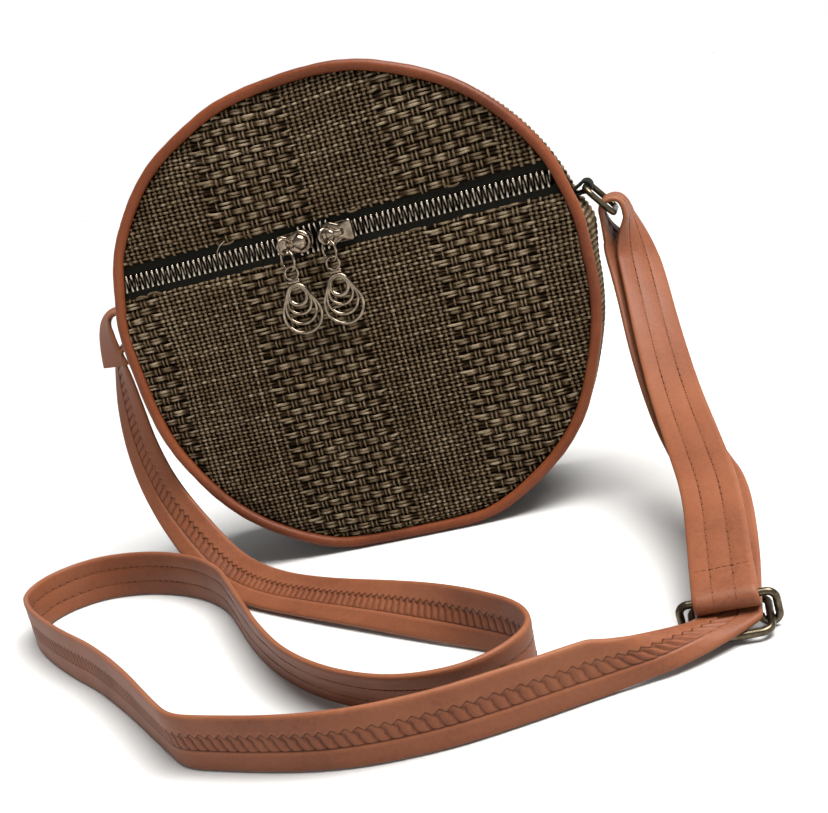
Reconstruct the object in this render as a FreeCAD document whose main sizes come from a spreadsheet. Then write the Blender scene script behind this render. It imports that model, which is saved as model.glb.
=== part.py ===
import FreeCAD, Part
import math
import os
import re
import Sketcher

# Circle bag: a round woven cross-body bag on a flat rest face, with a zipped
# front pocket, a main zip over the top, side rings and a long leather strap.
# Millimetres, +Z up, the front faces -Y, the rest face is the plane z = 0.

SIZES = {
    # bag body
    "bag_radius": 97.0,
    "bag_depth": 64.0,
    "rest_flat": 2.0,
    "fabric_thick": 2.0,
    "seam_gap": 0.2,
    "piping_radius": 2.2,
    "piping_reach": 0.3,
    "piping_fillet": 14.0,
    "seam_rise": 20.0,
    "seam_lap": 6.0,
    "lining_thick": 0.6,
    "pocket_depth": 9.0,
    "overrun": 12.0,
    # zips
    "zip_rise": 33.5,
    "zip_window": 12.5,
    "tape_gap": 0.15,
    "tape_thick": 0.8,
    "tape_edge": 3.4,
    "tape_reach": 12.0,
    "tooth_pitch": 2.3,
    "tooth_width": 1.0,
    "tooth_thick": 2.6,
    "tooth_lap": 0.9,
    "tooth_root": 3.2,
    "bead_width": 1.0,
    "bead_thick": 1.6,
    "open_shift": 2.4,
    "open_jog": 1.0,
    "chain_inset": 2.8,
    # sliders
    "left_slider_place": -15.0,
    "right_slider_place": 2.4,
    "slider_length": 13.5,
    "slider_nose": 4.75,
    "slider_tail": 4.25,
    "slider_front": 1.6,
    "slider_back": 1.2,
    "slider_room": 0.35,
    "slider_open": 5.0,
    "flange_depth": 0.9,
    "flange_end": 0.8,
    "post_length": 3.0,
    "post_half": 1.1,
    "post_inset": 0.55,
    "bridge_half": 3.6,
    "bridge_foot": 1.2,
    "bridge_width": 1.6,
    "bridge_room": 3.0,
    "bridge_thick": 0.8,
    # pulls
    "eye_radius": 2.9,
    "eye_wire": 0.55,
    "eye_pivot": 1.2,
    "eye_lift": 1.9,
    "eye_angle": 45.0,
    "link_radius": 4.3,
    "link_wire": 0.5,
    "link_angle": -40.0,
    "link_drop": 2.85,
    "pendant_radius": 8.0,
    "pendant_neck": 3.3,
    "pendant_rise": 14.4,
    "pendant_thick": 1.0,
    "pendant_hole": 2.2,
    "pendant_sag": 0.9,
    "window_radius": 3.4,
    "window_rise": 3.2,
    "slot_outer": 6.8,
    "slot_inner": 6.0,
    "slot_step": 1.5,
    "small_slot_outer": 5.3,
    "small_slot_inner": 4.6,
    "small_slot_drop": 0.9,
    # main zip
    "main_slider_angle": -68.0,
    "main_chain_angle": 22.0,
    "pull_length": 24.0,
    "pull_width": 7.0,
    "pull_thick": 1.2,
    "pull_hole": 1.7,
    # rings and tabs
    "tab_angle": 14.0,
    "tab_stand": 4.5,
    "tab_width": 14.0,
    "tab_thick": 1.2,
    "tab_tail": 2.4,
    "ring_wire": 1.2,
    "ring_width": 22.4,
    "ring_length": 15.0,
    "ring_corner": 3.5,
    "ring_angle": 54.0,
    "ring_room": 0.35,
    # strap and buckle
    "strap_width": 19.0,
    "strap_thick": 2.0,
    "buckle_x": 126.0,
    "buckle_y": -186.0,
    "buckle_z": 4.2,
    "buckle_slope": 11.0,
    "buckle_width": 22.6,
    "buckle_length": 17.6,
    "buckle_corner": 3.5,
    "buckle_wire": 1.2,
    "bar_rise": 7.5,
    "hook_radius": 2.7,
}

# The strap's route was laid out for a bag of this radius.
ROUTE_RADIUS = 97.0

# Middle line and width direction of the strap from the right ring, through
# the slide buckle and over the table, up to the left ring and its end flap.
STRAP_POINTS = [
    (111.8, 0, 104.5), (111.8, 0, 112.5), (102.8, 0, 112.5), (102.8, 0, 103.0),
    (103.0, -1, 92.0), (105.0, -12, 74.0), (109.0, -30, 55.0), (115.0, -62, 35.0),
    (121.0, -92, 25.5), (126.0, -112.9, 21.2), (126.0, -152.2, 13.5), (126.0, -186.5, 6.85),
    (126.0, -202.2, 3.8), (125.0, -211, 6.8), (115.0, -217, 8.9), (98.0, -219, 9.7),
    (79.0, -223, 9.7), (62.0, -229, 9.7), (44.0, -234, 9.7), (20.0, -236, 9.7),
    (-5.0, -231, 9.7), (-26.0, -224, 9.7), (-44.0, -212, 9.7), (-60.0, -192, 9.7),
    (-77.0, -166, 9.7), (-96.0, -142, 9.7), (-114.0, -124, 9.7), (-132.0, -104, 9.7),
    (-148.0, -84, 9.7), (-159.0, -64, 9.7), (-157.0, -44, 9.7), (-142.0, -33, 9.7),
    (-122.0, -36, 9.7), (-102.0, -46, 9.7), (-82.0, -62, 9.7), (-66.0, -82, 9.7),
    (-54.0, -105, 9.7), (-41.0, -130, 9.7), (-26.0, -155, 9.7), (-8.0, -178, 9.7),
    (14.0, -197, 9.7), (36.0, -209, 9.7), (56.0, -210, 9.7), (70.0, -197, 9.7),
    (66.0, -180, 9.7), (48.0, -163, 9.7), (28.0, -145, 9.7), (4.0, -124, 9.7),
    (-24.0, -98, 9.7), (-48.0, -76, 10.5), (-68.0, -57, 14.0), (-84.0, -42, 24.0),
    (-96.0, -28, 40.0), (-104.0, -15, 56.0), (-107.0, -6, 72.0), (-106.2, -1, 88.0),
    (-103.0, 0, 100.0), (-103.0, 0, 112.5), (-111.6, 0, 112.5), (-111.6, 0, 100.0),
    (-109.2, 0, 84.0),
]
STRAP_SIDES = (
    [(0, -1, 0)] * 4
    + [(-0.1, -1, 0), (-0.35, -0.9, 0.1), (-0.65, -0.7, 0.2), (-0.9, -0.35, 0.15)]
    + [(-1, 0, 0)] * 5
    + [(-0.85, 0.05, 0.5), (-0.3, 0.1, 0.95)]
    + [(0, 0, 1)] * 35
    + [(0.1, -0.2, 0.95), (0.2, -0.45, 0.85)]
    + [(0.2, -0.75, 0.6), (0.1, -0.92, 0.35), (0, -1, 0.1)]
    + [(0, -1, 0)] * 6
)

# The layer from the right ring down to the buckle, its turn round the
# buckle's bar and the flap sewn back under it.
LAYER_POINTS = [
    (111.8, 0, 104.2), (111.8, 0, 93.0), (113.3, -12, 80.0), (114.5, -30, 62.5),
    (117.5, -62, 45.5), (122.0, -96, 34.0), (126.0, -129.2, 26.2), (126.0, -166.4, 18.3),
    (126.0, -182.1, 15.3), (126.0, -190.9, 13.5), (126.0, -189.9, 8.4), (126.0, -181.1, 10.5),
    (126.0, -169.7, 14.4),
]
LAYER_SIDES = (
    [(0, -1, 0), (-0.1, -1, 0), (-0.35, -0.9, 0.1), (-0.65, -0.7, 0.2)]
    + [(-0.9, -0.35, 0.15)]
    + [(-1, 0, 0)] * 8
)
STEPS_PER_SPAN = 4

RIGHT_ANGLE = 90.0
HALF_TURN = 180.0
X_AXIS = FreeCAD.Vector(1, 0, 0)
Y_AXIS = FreeCAD.Vector(0, 1, 0)
Z_AXIS = FreeCAD.Vector(0, 0, 1)

doc = FreeCAD.newDocument("circle_bag")
sheet = doc.addObject("Spreadsheet::Sheet", "Sizes")
for row, (name, value) in enumerate(SIZES.items(), start=1):
    sheet.set("A%d" % row, name)
    sheet.set("B%d" % row, str(value))
    sheet.setAlias("B%d" % row, name)
doc.recompute()

nodes = {}


def size(name):
    return float(sheet.get(name))


def bound(rule):
    """Write a rule of named sizes as an expression on the sheet."""
    def cell(found):
        word = found.group(0)
        return "Sizes." + word if word in SIZES else word
    return re.sub(r"[a-z_]+", cell, rule)


def bind(item, **rules):
    for prop, rule in rules.items():
        item.setExpression(prop, bound(rule))


def put(item, x="0", y="0", z="0"):
    for axis, rule in (("x", x), ("y", y), ("z", z)):
        item.setExpression("Placement.Base." + axis, bound(rule))


def slab(name, x, y, z):
    """A box between two rules on each axis."""
    item = doc.addObject("Part::Box", name)
    for prop, (low, high) in (("Length", x), ("Width", y), ("Height", z)):
        item.setExpression(prop, bound("(%s) - (%s)" % (high, low)))
    put(item, x[0], y[0], z[0])
    return item


CENTRE = "(bag_radius - rest_flat)"


def drum(name, radius, y, x="0", z=CENTRE):
    """A cylinder along Y between two rules."""
    item = doc.addObject("Part::Cylinder", name)
    bind(item, Radius=radius, Height="(%s) - (%s)" % (y[1], y[0]))
    item.Placement.Rotation = FreeCAD.Rotation(X_AXIS, -RIGHT_ANGLE)
    put(item, x, y[0], z)
    return item


def cut(name, base, tool):
    item = doc.addObject("Part::Cut", name)
    item.Base = base
    item.Tool = tool
    return item


def common(name, *shapes):
    item = doc.addObject("Part::MultiCommon", name)
    item.Shapes = list(shapes)
    return item


def fuse(name, *shapes):
    item = doc.addObject("Part::MultiFuse", name)
    item.Shapes = list(shapes)
    return item


def feature(name, shape):
    item = doc.addObject("Part::Feature", name)
    item.Shape = shape
    return item


def node(name, item):
    item.Label = name
    nodes[name] = item
    return item


# Bag body

SPAN = ("-bag_radius - overrun", "bag_radius + overrun")
DEEP = ("-bag_depth", "bag_depth")
GUSSET_HALF = "bag_depth / 2 - piping_radius - seam_gap"
GUSSET = ("-(%s)" % GUSSET_HALF, GUSSET_HALF)
TOP = CENTRE + " + bag_radius + overrun"
SEAM = CENTRE + " + seam_rise"
PANEL_RADIUS = "bag_radius + piping_reach - piping_radius - seam_gap"
PANEL_FLOOR = "2 * piping_radius + seam_gap"
FRONT = ("-bag_depth / 2 - fabric_thick / 2", "-bag_depth / 2 + fabric_thick / 2")
BACK = ("bag_depth / 2 - fabric_thick / 2", "bag_depth / 2 + fabric_thick / 2")
ZIP = CENTRE + " + zip_rise"


def round_sheet(name, radius, floor, y):
    """A round sheet with a flat lower edge."""
    disc = drum(name + "Disc", radius, y)
    keep = slab(name + "Keep", SPAN, DEEP, (floor, TOP))
    return common(name, disc, keep)


def round_band(name, radius, floor, thick):
    """A band round the bag with a flat lower run."""
    outer = round_sheet(name + "Outer", radius, floor, GUSSET)
    inner = round_sheet(name + "Inner", radius + " - " + thick, floor + " + " + thick, DEEP)
    return cut(name, outer, inner)


front_disc = round_sheet("FrontDisc", PANEL_RADIUS, PANEL_FLOOR, FRONT)
upper_keep = slab("UpperKeep", SPAN, DEEP, (ZIP + " + zip_window / 2", TOP))
lower_keep = slab("LowerKeep", SPAN, DEEP, ("0", ZIP + " - zip_window / 2"))
node("front_panel_upper", common("FrontPanelUpper", front_disc, upper_keep))
node("front_panel_lower", common("FrontPanelLower", front_disc, lower_keep))
node("back_panel", round_sheet("BackPanel", PANEL_RADIUS, PANEL_FLOOR, BACK))

band = round_band("GussetBand", "bag_radius", "0", "fabric_thick")
below_seam = slab("BelowSeam", SPAN, DEEP, ("-overrun", SEAM))
node("bottom_gusset", common("BottomGusset", band, below_seam))

TOP_RADIUS = "(bag_radius - fabric_thick - seam_gap)"
TAPE_RADIUS = "(bag_radius - 2 * fabric_thick - seam_gap - tape_gap)"
STRIP_FLOOR = SEAM + " - seam_lap"


def arched(name, radius, thick, y, floor):
    """An arched strip over the top of the bag."""
    shell = cut(
        name + "Shell",
        drum(name + "Outer", radius, y),
        drum(name + "Inner", radius + " - " + thick, DEEP),
    )
    return common(name, shell, slab(name + "Keep", SPAN, DEEP, (floor, TOP)))


FRONT_STRIP = (GUSSET[0], "-zip_window / 2")
BACK_STRIP = ("zip_window / 2", GUSSET[1])
for name, label, y in (
    ("top_gusset_front_strip", "TopFrontStrip", FRONT_STRIP),
    ("top_gusset_back_strip", "TopBackStrip", BACK_STRIP),
):
    node(name, arched(label, TOP_RADIUS, "fabric_thick", y, STRIP_FLOOR))
FRONT_TAPE = ("-tape_reach", "-tape_edge - seam_gap")
BACK_TAPE = ("tape_edge + seam_gap", "tape_reach")
for name, label, y in (
    ("main_zip_front_tape", "MainFrontTape", FRONT_TAPE),
    ("main_zip_back_tape", "MainBackTape", BACK_TAPE),
):
    node(name, arched(label, TAPE_RADIUS, "tape_thick", y, STRIP_FLOOR))

LINING_RADIUS = "bag_radius - fabric_thick - seam_gap"
LINING_FLOOR = "fabric_thick + seam_gap"
lining_band = round_band("LiningBand", LINING_RADIUS, LINING_FLOOR, "lining_thick")
lining_keep = slab("LiningKeep", SPAN, DEEP, ("0", STRIP_FLOOR + " - seam_gap"))
node("lining_gusset", common("LiningGusset", lining_band, lining_keep))
LINING_BACK = (BACK[0] + " - seam_gap - lining_thick", BACK[0] + " - seam_gap")
LINING_BACK_RADIUS = PANEL_RADIUS + " - seam_gap"
node("lining_back", round_sheet("LiningBack", LINING_BACK_RADIUS, PANEL_FLOOR, LINING_BACK))
POCKET = (FRONT[1] + " + pocket_depth", FRONT[1] + " + pocket_depth + lining_thick")
POCKET_RADIUS = "bag_radius - 2 * fabric_thick - 2 * seam_gap"
POCKET_FLOOR = "fabric_thick + 2 * seam_gap + lining_thick"
node("pocket_lining", round_sheet("PocketLining", POCKET_RADIUS, POCKET_FLOOR, POCKET))


def tube(edges, radius, start, along):
    """A round wire of one radius along a path."""
    ring = Part.Wire([Part.makeCircle(radius, start, along)])
    return Part.Wire(edges).makePipeShell([ring], True, False)


def piping(y):
    """The corded edge: a big arc, two corner arcs and a flat lower run."""
    reach = size("bag_radius") + size("piping_reach")
    wire = size("piping_radius")
    corner = size("piping_fillet")
    high = size("bag_radius") - size("rest_flat")
    middle = FreeCAD.Vector(0, y, high)
    drop = high - wire - corner
    side = math.sqrt((reach - corner) ** 2 - drop ** 2)
    corner_middle = FreeCAD.Vector(side, y, wire + corner)
    out = (corner_middle - middle).normalize()
    touch = middle + out * reach
    foot = FreeCAD.Vector(side, y, wire)
    between = corner_middle + (out - Z_AXIS).normalize() * corner

    def flip(point):
        return FreeCAD.Vector(-point.x, point.y, point.z)

    crown = middle + Z_AXIS * reach
    edges = [
        Part.LineSegment(flip(foot), foot).toShape(),
        Part.Arc(foot, between, touch).toShape(),
        Part.Arc(touch, crown, flip(touch)).toShape(),
        Part.Arc(flip(touch), flip(between), flip(foot)).toShape(),
    ]
    return tube(edges, wire, flip(foot), X_AXIS)


node("front_piping", feature("FrontPiping", piping(-size("bag_depth") / 2)))
node("back_piping", feature("BackPiping", piping(size("bag_depth") / 2)))

# Front zip

TAPE_MIDDLE = "(" + FRONT[1] + " + tape_gap + tape_thick / 2)"
TAPE = (TAPE_MIDDLE + " - tape_thick / 2", TAPE_MIDDLE + " + tape_thick / 2")
OPEN_LEFT = "(left_slider_place + slider_length / 2 - slider_open)"
OPEN_RIGHT = "(right_slider_place - slider_length / 2 + slider_open)"
OPEN = (OPEN_LEFT + " - open_jog", OPEN_RIGHT + " + open_jog")
tape_disc = drum("TapeDisc", PANEL_RADIUS + " - seam_gap", TAPE)


def front_tape(name, strip_span, notch_span):
    """A tape with a notch where the chain stands open."""
    strip = slab(name + "Strip", SPAN, DEEP, strip_span)
    notch = slab(name + "Notch", OPEN, DEEP, notch_span)
    return common(name, tape_disc, cut(name + "Cut", strip, notch))


UPPER_NOTCH = (ZIP, ZIP + " + tape_edge + open_shift")
LOWER_NOTCH = (ZIP + " - tape_edge - open_shift", ZIP)
UPPER_STRIP = (ZIP + " + tape_edge", ZIP + " + tape_reach")
LOWER_STRIP = (ZIP + " - tape_reach", ZIP + " - tape_edge")
node("front_zip_upper_tape", front_tape("UpperTape", UPPER_STRIP, UPPER_NOTCH))
node("front_zip_lower_tape", front_tape("LowerTape", LOWER_STRIP, LOWER_NOTCH))
doc.recompute()


def row_places(first, last, pitch, shift):
    """Places of teeth from first to last at an even pitch."""
    count = int((last - first - shift) / pitch)
    return [first + shift + pitch * step for step in range(count + 1)]


def front_teeth(up):
    """One row of teeth on its bead, opened between the two sliders."""
    pitch = size("tooth_pitch")
    wide = size("tooth_width")
    thick = size("tooth_thick")
    root = size("tooth_root")
    lap = size("tooth_lap")
    bead = size("bead_width")
    bead_thick = size("bead_thick")
    shift = size("open_shift")
    jog = size("open_jog")
    panel = size("bag_radius") + size("piping_reach") - size("piping_radius") - size("seam_gap")
    half = math.sqrt(panel ** 2 - size("zip_rise") ** 2) - size("chain_inset")
    start = size("left_slider_place") + size("slider_length") / 2 - size("slider_open")
    finish = size("right_slider_place") - size("slider_length") / 2 + size("slider_open")
    pieces = []

    def block(low, high, inner, outer, deep):
        box = Part.makeBox(high - low, deep, outer - inner)
        box.translate(FreeCAD.Vector(low, -deep / 2, inner))
        pieces.append(box)

    block(-half, start + jog / 2, root - bead, root, bead_thick)
    block(start - jog / 2, finish + jog / 2, root - bead + shift, root + shift, bead_thick)
    block(finish - jog / 2, half, root - bead, root, bead_thick)
    block(start - jog / 2, start + jog / 2, root - bead, root + shift, bead_thick)
    block(finish - jog / 2, finish + jog / 2, root - bead, root + shift, bead_thick)
    offset = pitch / 2 if up else 0
    for place in row_places(-half + wide, half - wide, pitch, offset):
        apart = start - jog / 2 <= place - wide / 2 and place + wide / 2 <= finish + jog / 2
        away = shift if apart else 0
        block(place - wide / 2, place + wide / 2, away - lap, root + away, thick)
    row = pieces[0].multiFuse(pieces[1:])
    if not up:
        row = row.mirror(FreeCAD.Vector(0, 0, 0), Z_AXIS)
    return row


for name, up in (("front_zip_upper_teeth", True), ("front_zip_lower_teeth", False)):
    teeth = node(name, feature("FrontTeeth" + ("Upper" if up else "Lower"), front_teeth(up)))
    put(teeth, "0", TAPE_MIDDLE, ZIP)

# Main zip teeth, along the arch

def main_teeth(front):
    """One arched row of teeth on its bead."""
    radius = (
        size("bag_radius") - 2 * size("fabric_thick") - size("seam_gap")
        - size("tape_gap") - size("tape_thick") / 2
    )
    wide = size("tooth_width")
    thick = size("tooth_thick")
    root = size("tooth_root")
    lap = size("tooth_lap")
    bead = size("bead_width")
    bead_half = size("bead_thick") / 2
    arc_step = math.degrees(size("tooth_pitch") / radius)
    arc_wide = math.degrees(wide / radius)
    first = size("main_chain_angle")
    last = RIGHT_ANGLE - size("main_slider_angle")
    middle = (first + last) / 2

    def spot(reach, angle):
        turn = math.radians(angle)
        return FreeCAD.Vector(reach * math.cos(turn), root - bead, reach * math.sin(turn))

    inner = radius - bead_half
    outer = radius + bead_half
    rim = [
        Part.Arc(spot(outer, first), spot(outer, middle), spot(outer, last)).toShape(),
        Part.LineSegment(spot(outer, last), spot(inner, last)).toShape(),
        Part.Arc(spot(inner, last), spot(inner, middle), spot(inner, first)).toShape(),
        Part.LineSegment(spot(inner, first), spot(outer, first)).toShape(),
    ]
    row = Part.Face(Part.Wire(rim)).extrude(Y_AXIS * bead)
    pieces = []
    offset = arc_step / 2 if front else 0
    for place in row_places(first + arc_wide, last - arc_wide, arc_step, offset):
        box = Part.makeBox(thick, root + lap, wide)
        box.translate(FreeCAD.Vector(radius - thick / 2, -lap, -wide / 2))
        box.rotate(FreeCAD.Vector(0, 0, 0), Y_AXIS, -place)
        pieces.append(box)
    row = row.multiFuse(pieces)
    if front:
        row = row.mirror(FreeCAD.Vector(0, 0, 0), Y_AXIS)
    return row


for name, front in (("main_zip_front_teeth", True), ("main_zip_back_teeth", False)):
    teeth = node(name, feature("MainTeeth" + ("Front" if front else "Back"), main_teeth(front)))
    put(teeth, "0", "0", CENTRE)

# Sliders, built on the zip line with the nose towards +X


def slider(name):
    half = "slider_length / 2"
    inner = "(tooth_thick / 2 + slider_room)"
    front = ("-%s - slider_front" % inner, "-" + inner)
    back = (inner, inner + " + slider_back")
    parts = []
    for side, y in (("Front", front), ("Back", back)):
        nose = half + " - slider_nose"
        parts.append(drum(name + side + "Nose", "slider_nose", y, nose, "0"))
        parts.append(slab(name + side + "Tail", ("-" + half, nose), y, ("-slider_tail", "slider_tail")))
    root = "(tooth_root + slider_room)"
    for side, z in (("Up", (root, "slider_tail")), ("Down", ("-slider_tail", "-" + root))):
        for face, y in (
            ("Front", ("-" + inner, "flange_depth - " + inner)),
            ("Back", (inner + " - flange_depth", inner)),
        ):
            parts.append(slab(name + side + face + "Flange", ("-" + half, "flange_end"), y, z))
    post_end = half + " - post_inset"
    post_span = (post_end + " - post_length", post_end)
    parts.append(slab(name + "Post", post_span, (front[0], back[1]), ("-post_half", "post_half")))
    arch_low = front[0] + " - bridge_room"
    arch_span = ("-bridge_half", "bridge_half")
    arch_deep = (arch_low + " - bridge_thick", front[0])
    arch = slab(name + "Arch", arch_span, arch_deep, ("-bridge_width / 2", "bridge_width / 2"))
    hole_span = ("bridge_foot - bridge_half", "bridge_half - bridge_foot")
    hole_deep = (arch_low, front[0])
    hole = slab(name + "ArchHole", hole_span, hole_deep, ("-bridge_width", "bridge_width"))
    parts.append(cut(name + "Bridge", arch, hole))
    return fuse(name, *parts)


left_slider = node("left_slider", slider("LeftSlider"))
put(left_slider, "left_slider_place", TAPE_MIDDLE, ZIP)
right_slider = node("right_slider", slider("RightSlider"))
right_slider.Placement.Rotation = FreeCAD.Rotation(Y_AXIS, HALF_TURN)
put(right_slider, "right_slider_place", TAPE_MIDDLE, ZIP)

# Pull eyes, link rings and pendants

EYE_Y = TAPE_MIDDLE + " - tooth_thick / 2 - slider_room - slider_front - eye_lift"


def wire_ring(name, radius, wire, turn):
    """A round ring of wire that faces the front, turned about the upright."""
    item = doc.addObject("Part::Torus", name)
    bind(item, Radius1=radius, Radius2=wire)
    upright = FreeCAD.Rotation(X_AXIS, RIGHT_ANGLE)
    item.Placement.Rotation = FreeCAD.Rotation(Z_AXIS, size(turn)).multiply(upright)
    return item


def pendant_body(name):
    """The teardrop: two arcs and two lines that touch both."""
    body = doc.addObject("PartDesign::Body", name + "Body")
    sketch = body.newObject("Sketcher::SketchObject", name + "Outline")
    plane = [part for part in body.Origin.OriginFeatures if part.Role == "XZ_Plane"][0]
    sketch.AttachmentSupport = [(plane, "")]
    sketch.MapMode = "FlatFace"
    big = size("pendant_radius")
    small = size("pendant_neck")
    rise = size("pendant_rise")
    lean = math.asin((big - small) / rise)
    middle = FreeCAD.Vector(0, 0, 0)
    high = FreeCAD.Vector(0, rise, 0)

    def around(point, radius, angle):
        return point + FreeCAD.Vector(math.cos(angle), math.sin(angle), 0) * radius

    other = math.pi - lean
    sketch.addGeometry(Part.ArcOfCircle(Part.Circle(middle, Z_AXIS, big), other, 2 * math.pi + lean))
    sketch.addGeometry(Part.LineSegment(around(middle, big, lean), around(high, small, lean)))
    sketch.addGeometry(Part.ArcOfCircle(Part.Circle(high, Z_AXIS, small), lean, other))
    sketch.addGeometry(Part.LineSegment(around(high, small, other), around(middle, big, other)))
    sketch.addConstraint(Sketcher.Constraint("Tangent", 0, 2, 1, 1))
    sketch.addConstraint(Sketcher.Constraint("Tangent", 1, 2, 2, 1))
    sketch.addConstraint(Sketcher.Constraint("Tangent", 2, 2, 3, 1))
    sketch.addConstraint(Sketcher.Constraint("Tangent", 3, 2, 0, 1))
    sketch.addConstraint(Sketcher.Constraint("Coincident", 0, 3, -1, 1))
    sketch.addConstraint(Sketcher.Constraint("PointOnObject", 2, 3, -2))
    for rule, found in (
        ("pendant_radius", sketch.addConstraint(Sketcher.Constraint("Radius", 0, big))),
        ("pendant_neck", sketch.addConstraint(Sketcher.Constraint("Radius", 2, small))),
        ("pendant_rise", sketch.addConstraint(Sketcher.Constraint("DistanceY", -1, 1, 2, 3, rise))),
    ):
        sketch.setExpression("Constraints[%d]" % found, bound(rule))
    pad = body.newObject("PartDesign::Pad", name + "Pad")
    pad.Profile = sketch
    pad.SideType = "Symmetric"
    bind(pad, Length="pendant_thick")
    body.Tip = pad
    return body


def pendant(name):
    body = pendant_body(name)
    deep = ("-pendant_thick", "pendant_thick")
    holes = [
        drum(name + "Eye", "pendant_hole", deep, "0", "pendant_rise"),
        drum(name + "Window", "window_radius", deep, "0", "window_rise"),
    ]
    for step, (outer, inner, low, high) in enumerate((
        ("slot_outer", "slot_inner", "0", "slot_step"),
        ("small_slot_outer", "small_slot_inner", "small_slot_drop", "small_slot_drop + slot_step"),
    )):
        ring = drum(name + "SlotOuter%d" % step, outer, deep, "0", low)
        through = ("-2 * pendant_thick", "2 * pendant_thick")
        core = drum(name + "SlotInner%d" % step, inner, through, "0", high)
        holes.append(cut(name + "Slot%d" % step, ring, core))
    return cut(name, body, fuse(name + "Holes", *holes))


def pull_set(side):
    """The eye, link and pendant that hang from one slider."""
    start = side + "_slider_place - eye_pivot"
    x = start + " - eye_radius * cos(eye_angle * 1deg)"
    y = EYE_Y + " - eye_radius * sin(eye_angle * 1deg)"
    cap = side.capitalize()
    eye = node(side + "_pull_eye", wire_ring(cap + "Eye", "eye_radius", "eye_wire", "eye_angle"))
    put(eye, x, y, ZIP)
    link = node(side + "_link_ring", wire_ring(cap + "Link", "link_radius", "link_wire", "link_angle"))
    put(link, x, y, ZIP + " - eye_radius - link_drop")
    drop = node(side + "_pendant", pendant(cap + "Pendant"))
    put(drop, x, y, ZIP + " - eye_radius - link_drop - link_radius - pendant_sag - pendant_rise")


pull_set("left")
pull_set("right")

# Main slider and its pull, on the arch

main_slider = node("main_slider", slider("MainSlider"))
doc.recompute()
arch_turn = FreeCAD.Rotation(Y_AXIS, size("main_slider_angle"))
arch_out = arch_turn.multVec(Z_AXIS)
arch_middle = FreeCAD.Vector(0, 0, size("bag_radius") - size("rest_flat"))
chain_radius = (
    size("bag_radius") - 2 * size("fabric_thick") - size("seam_gap")
    - size("tape_gap") - size("tape_thick") / 2
)
flat_turn = FreeCAD.Rotation(X_AXIS, -RIGHT_ANGLE)
flip_turn = FreeCAD.Rotation(Z_AXIS, HALF_TURN)
main_slider.Placement = FreeCAD.Placement(
    arch_middle + arch_out * chain_radius,
    arch_turn.multiply(flip_turn).multiply(flat_turn),
)


def main_pull_body(name):
    """A flat tab with an eye that goes round the slider's bridge."""
    half = "pull_width / 2"
    lift = "-tooth_thick / 2 - slider_room - slider_front - eye_lift"
    y = (lift + " - pull_thick / 2", lift + " + pull_thick / 2")
    start = "-bridge_half"
    finish = "-bridge_half - pull_length"
    eye = drum(name + "Eye", half, y, start, "0")
    tab = slab(name + "Tab", (finish, start), y, ("-" + half, half))
    end = drum(name + "End", half, y, finish, "0")
    hole_place = "bridge_foot / 2 - bridge_half"
    hole = drum(name + "Hole", "pull_hole + eye_wire", DEEP, hole_place, "0")
    return cut(name, fuse(name + "Whole", eye, tab, end), hole)


main_pull = node("main_pull", main_pull_body("MainPull"))
doc.recompute()
main_pull.Placement = main_slider.Placement

# Rings and tabs

TAB_RULE = "tab_angle * 1deg"
TAB_REACH = "(bag_radius + tab_stand)"
BAR_X = "(%s * cos(%s))" % (TAB_REACH, TAB_RULE)
BAR_Z = "(%s + %s * sin(%s))" % (CENTRE, TAB_REACH, TAB_RULE)
TAB_Y = ("-tab_width / 2", "tab_width / 2")


def ring_tab(name):
    """A short loop of tape sewn in at the seam, round the ring's inner bar."""
    outer = drum(name + "Loop", "ring_wire + ring_room + tab_thick", TAB_Y, BAR_X, BAR_Z)
    tail = doc.addObject("Part::Box", name + "Tail")
    bind(tail, Length="tab_stand + fabric_thick - seam_gap", Width="tab_width", Height="tab_tail")
    angle = math.radians(size("tab_angle"))
    near = size("bag_radius") - size("fabric_thick") + size("seam_gap")
    side = FreeCAD.Vector(math.cos(angle), 0, math.sin(angle)) * near
    base = arch_middle + side - Y_AXIS * (size("tab_width") / 2)
    down = FreeCAD.Vector(math.sin(angle), 0, -math.cos(angle)) * (size("tab_tail") / 2)
    tail.Placement = FreeCAD.Placement(base + down, FreeCAD.Rotation(Y_AXIS, -size("tab_angle")))
    bore = drum(name + "Bore", "ring_wire + ring_room", ("-bag_depth", "bag_depth"), BAR_X, BAR_Z)
    return cut(name, fuse(name + "Whole", outer, tail), bore)


def mirrored(name, source):
    item = doc.addObject("Part::Mirroring", name)
    item.Source = source
    item.Base = FreeCAD.Vector(0, 0, 0)
    item.Normal = X_AXIS
    return item


def rounded_loop(points, corner):
    """Straight runs joined by corner arcs, as a closed path."""
    edges = []
    count = len(points)
    cuts = []
    for step in range(count):
        here = points[step]
        back = (points[step - 1] - here).normalize()
        ahead = (points[(step + 1) % count] - here).normalize()
        middle = here + (back + ahead) * corner
        bulge = middle + (here - middle).normalize() * corner
        cuts.append((here + back * corner, bulge, here + ahead * corner))
    for step in range(count):
        low = cuts[step]
        high = cuts[(step + 1) % count]
        edges.append(Part.LineSegment(low[2], high[0]).toShape())
        edges.append(Part.Arc(high[0], high[1], high[2]).toShape())
    return edges


def wire_frame(middle, wide, along, width, length, corner, wire):
    """A rounded rectangle of round wire."""
    corners = [
        middle + wide * (width / 2) + along * (length / 2),
        middle - wide * (width / 2) + along * (length / 2),
        middle - wide * (width / 2) - along * (length / 2),
        middle + wide * (width / 2) - along * (length / 2),
    ]
    edges = rounded_loop(corners, corner)
    start = corners[0] - wide * corner
    return tube(edges, wire, start, wide)


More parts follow.
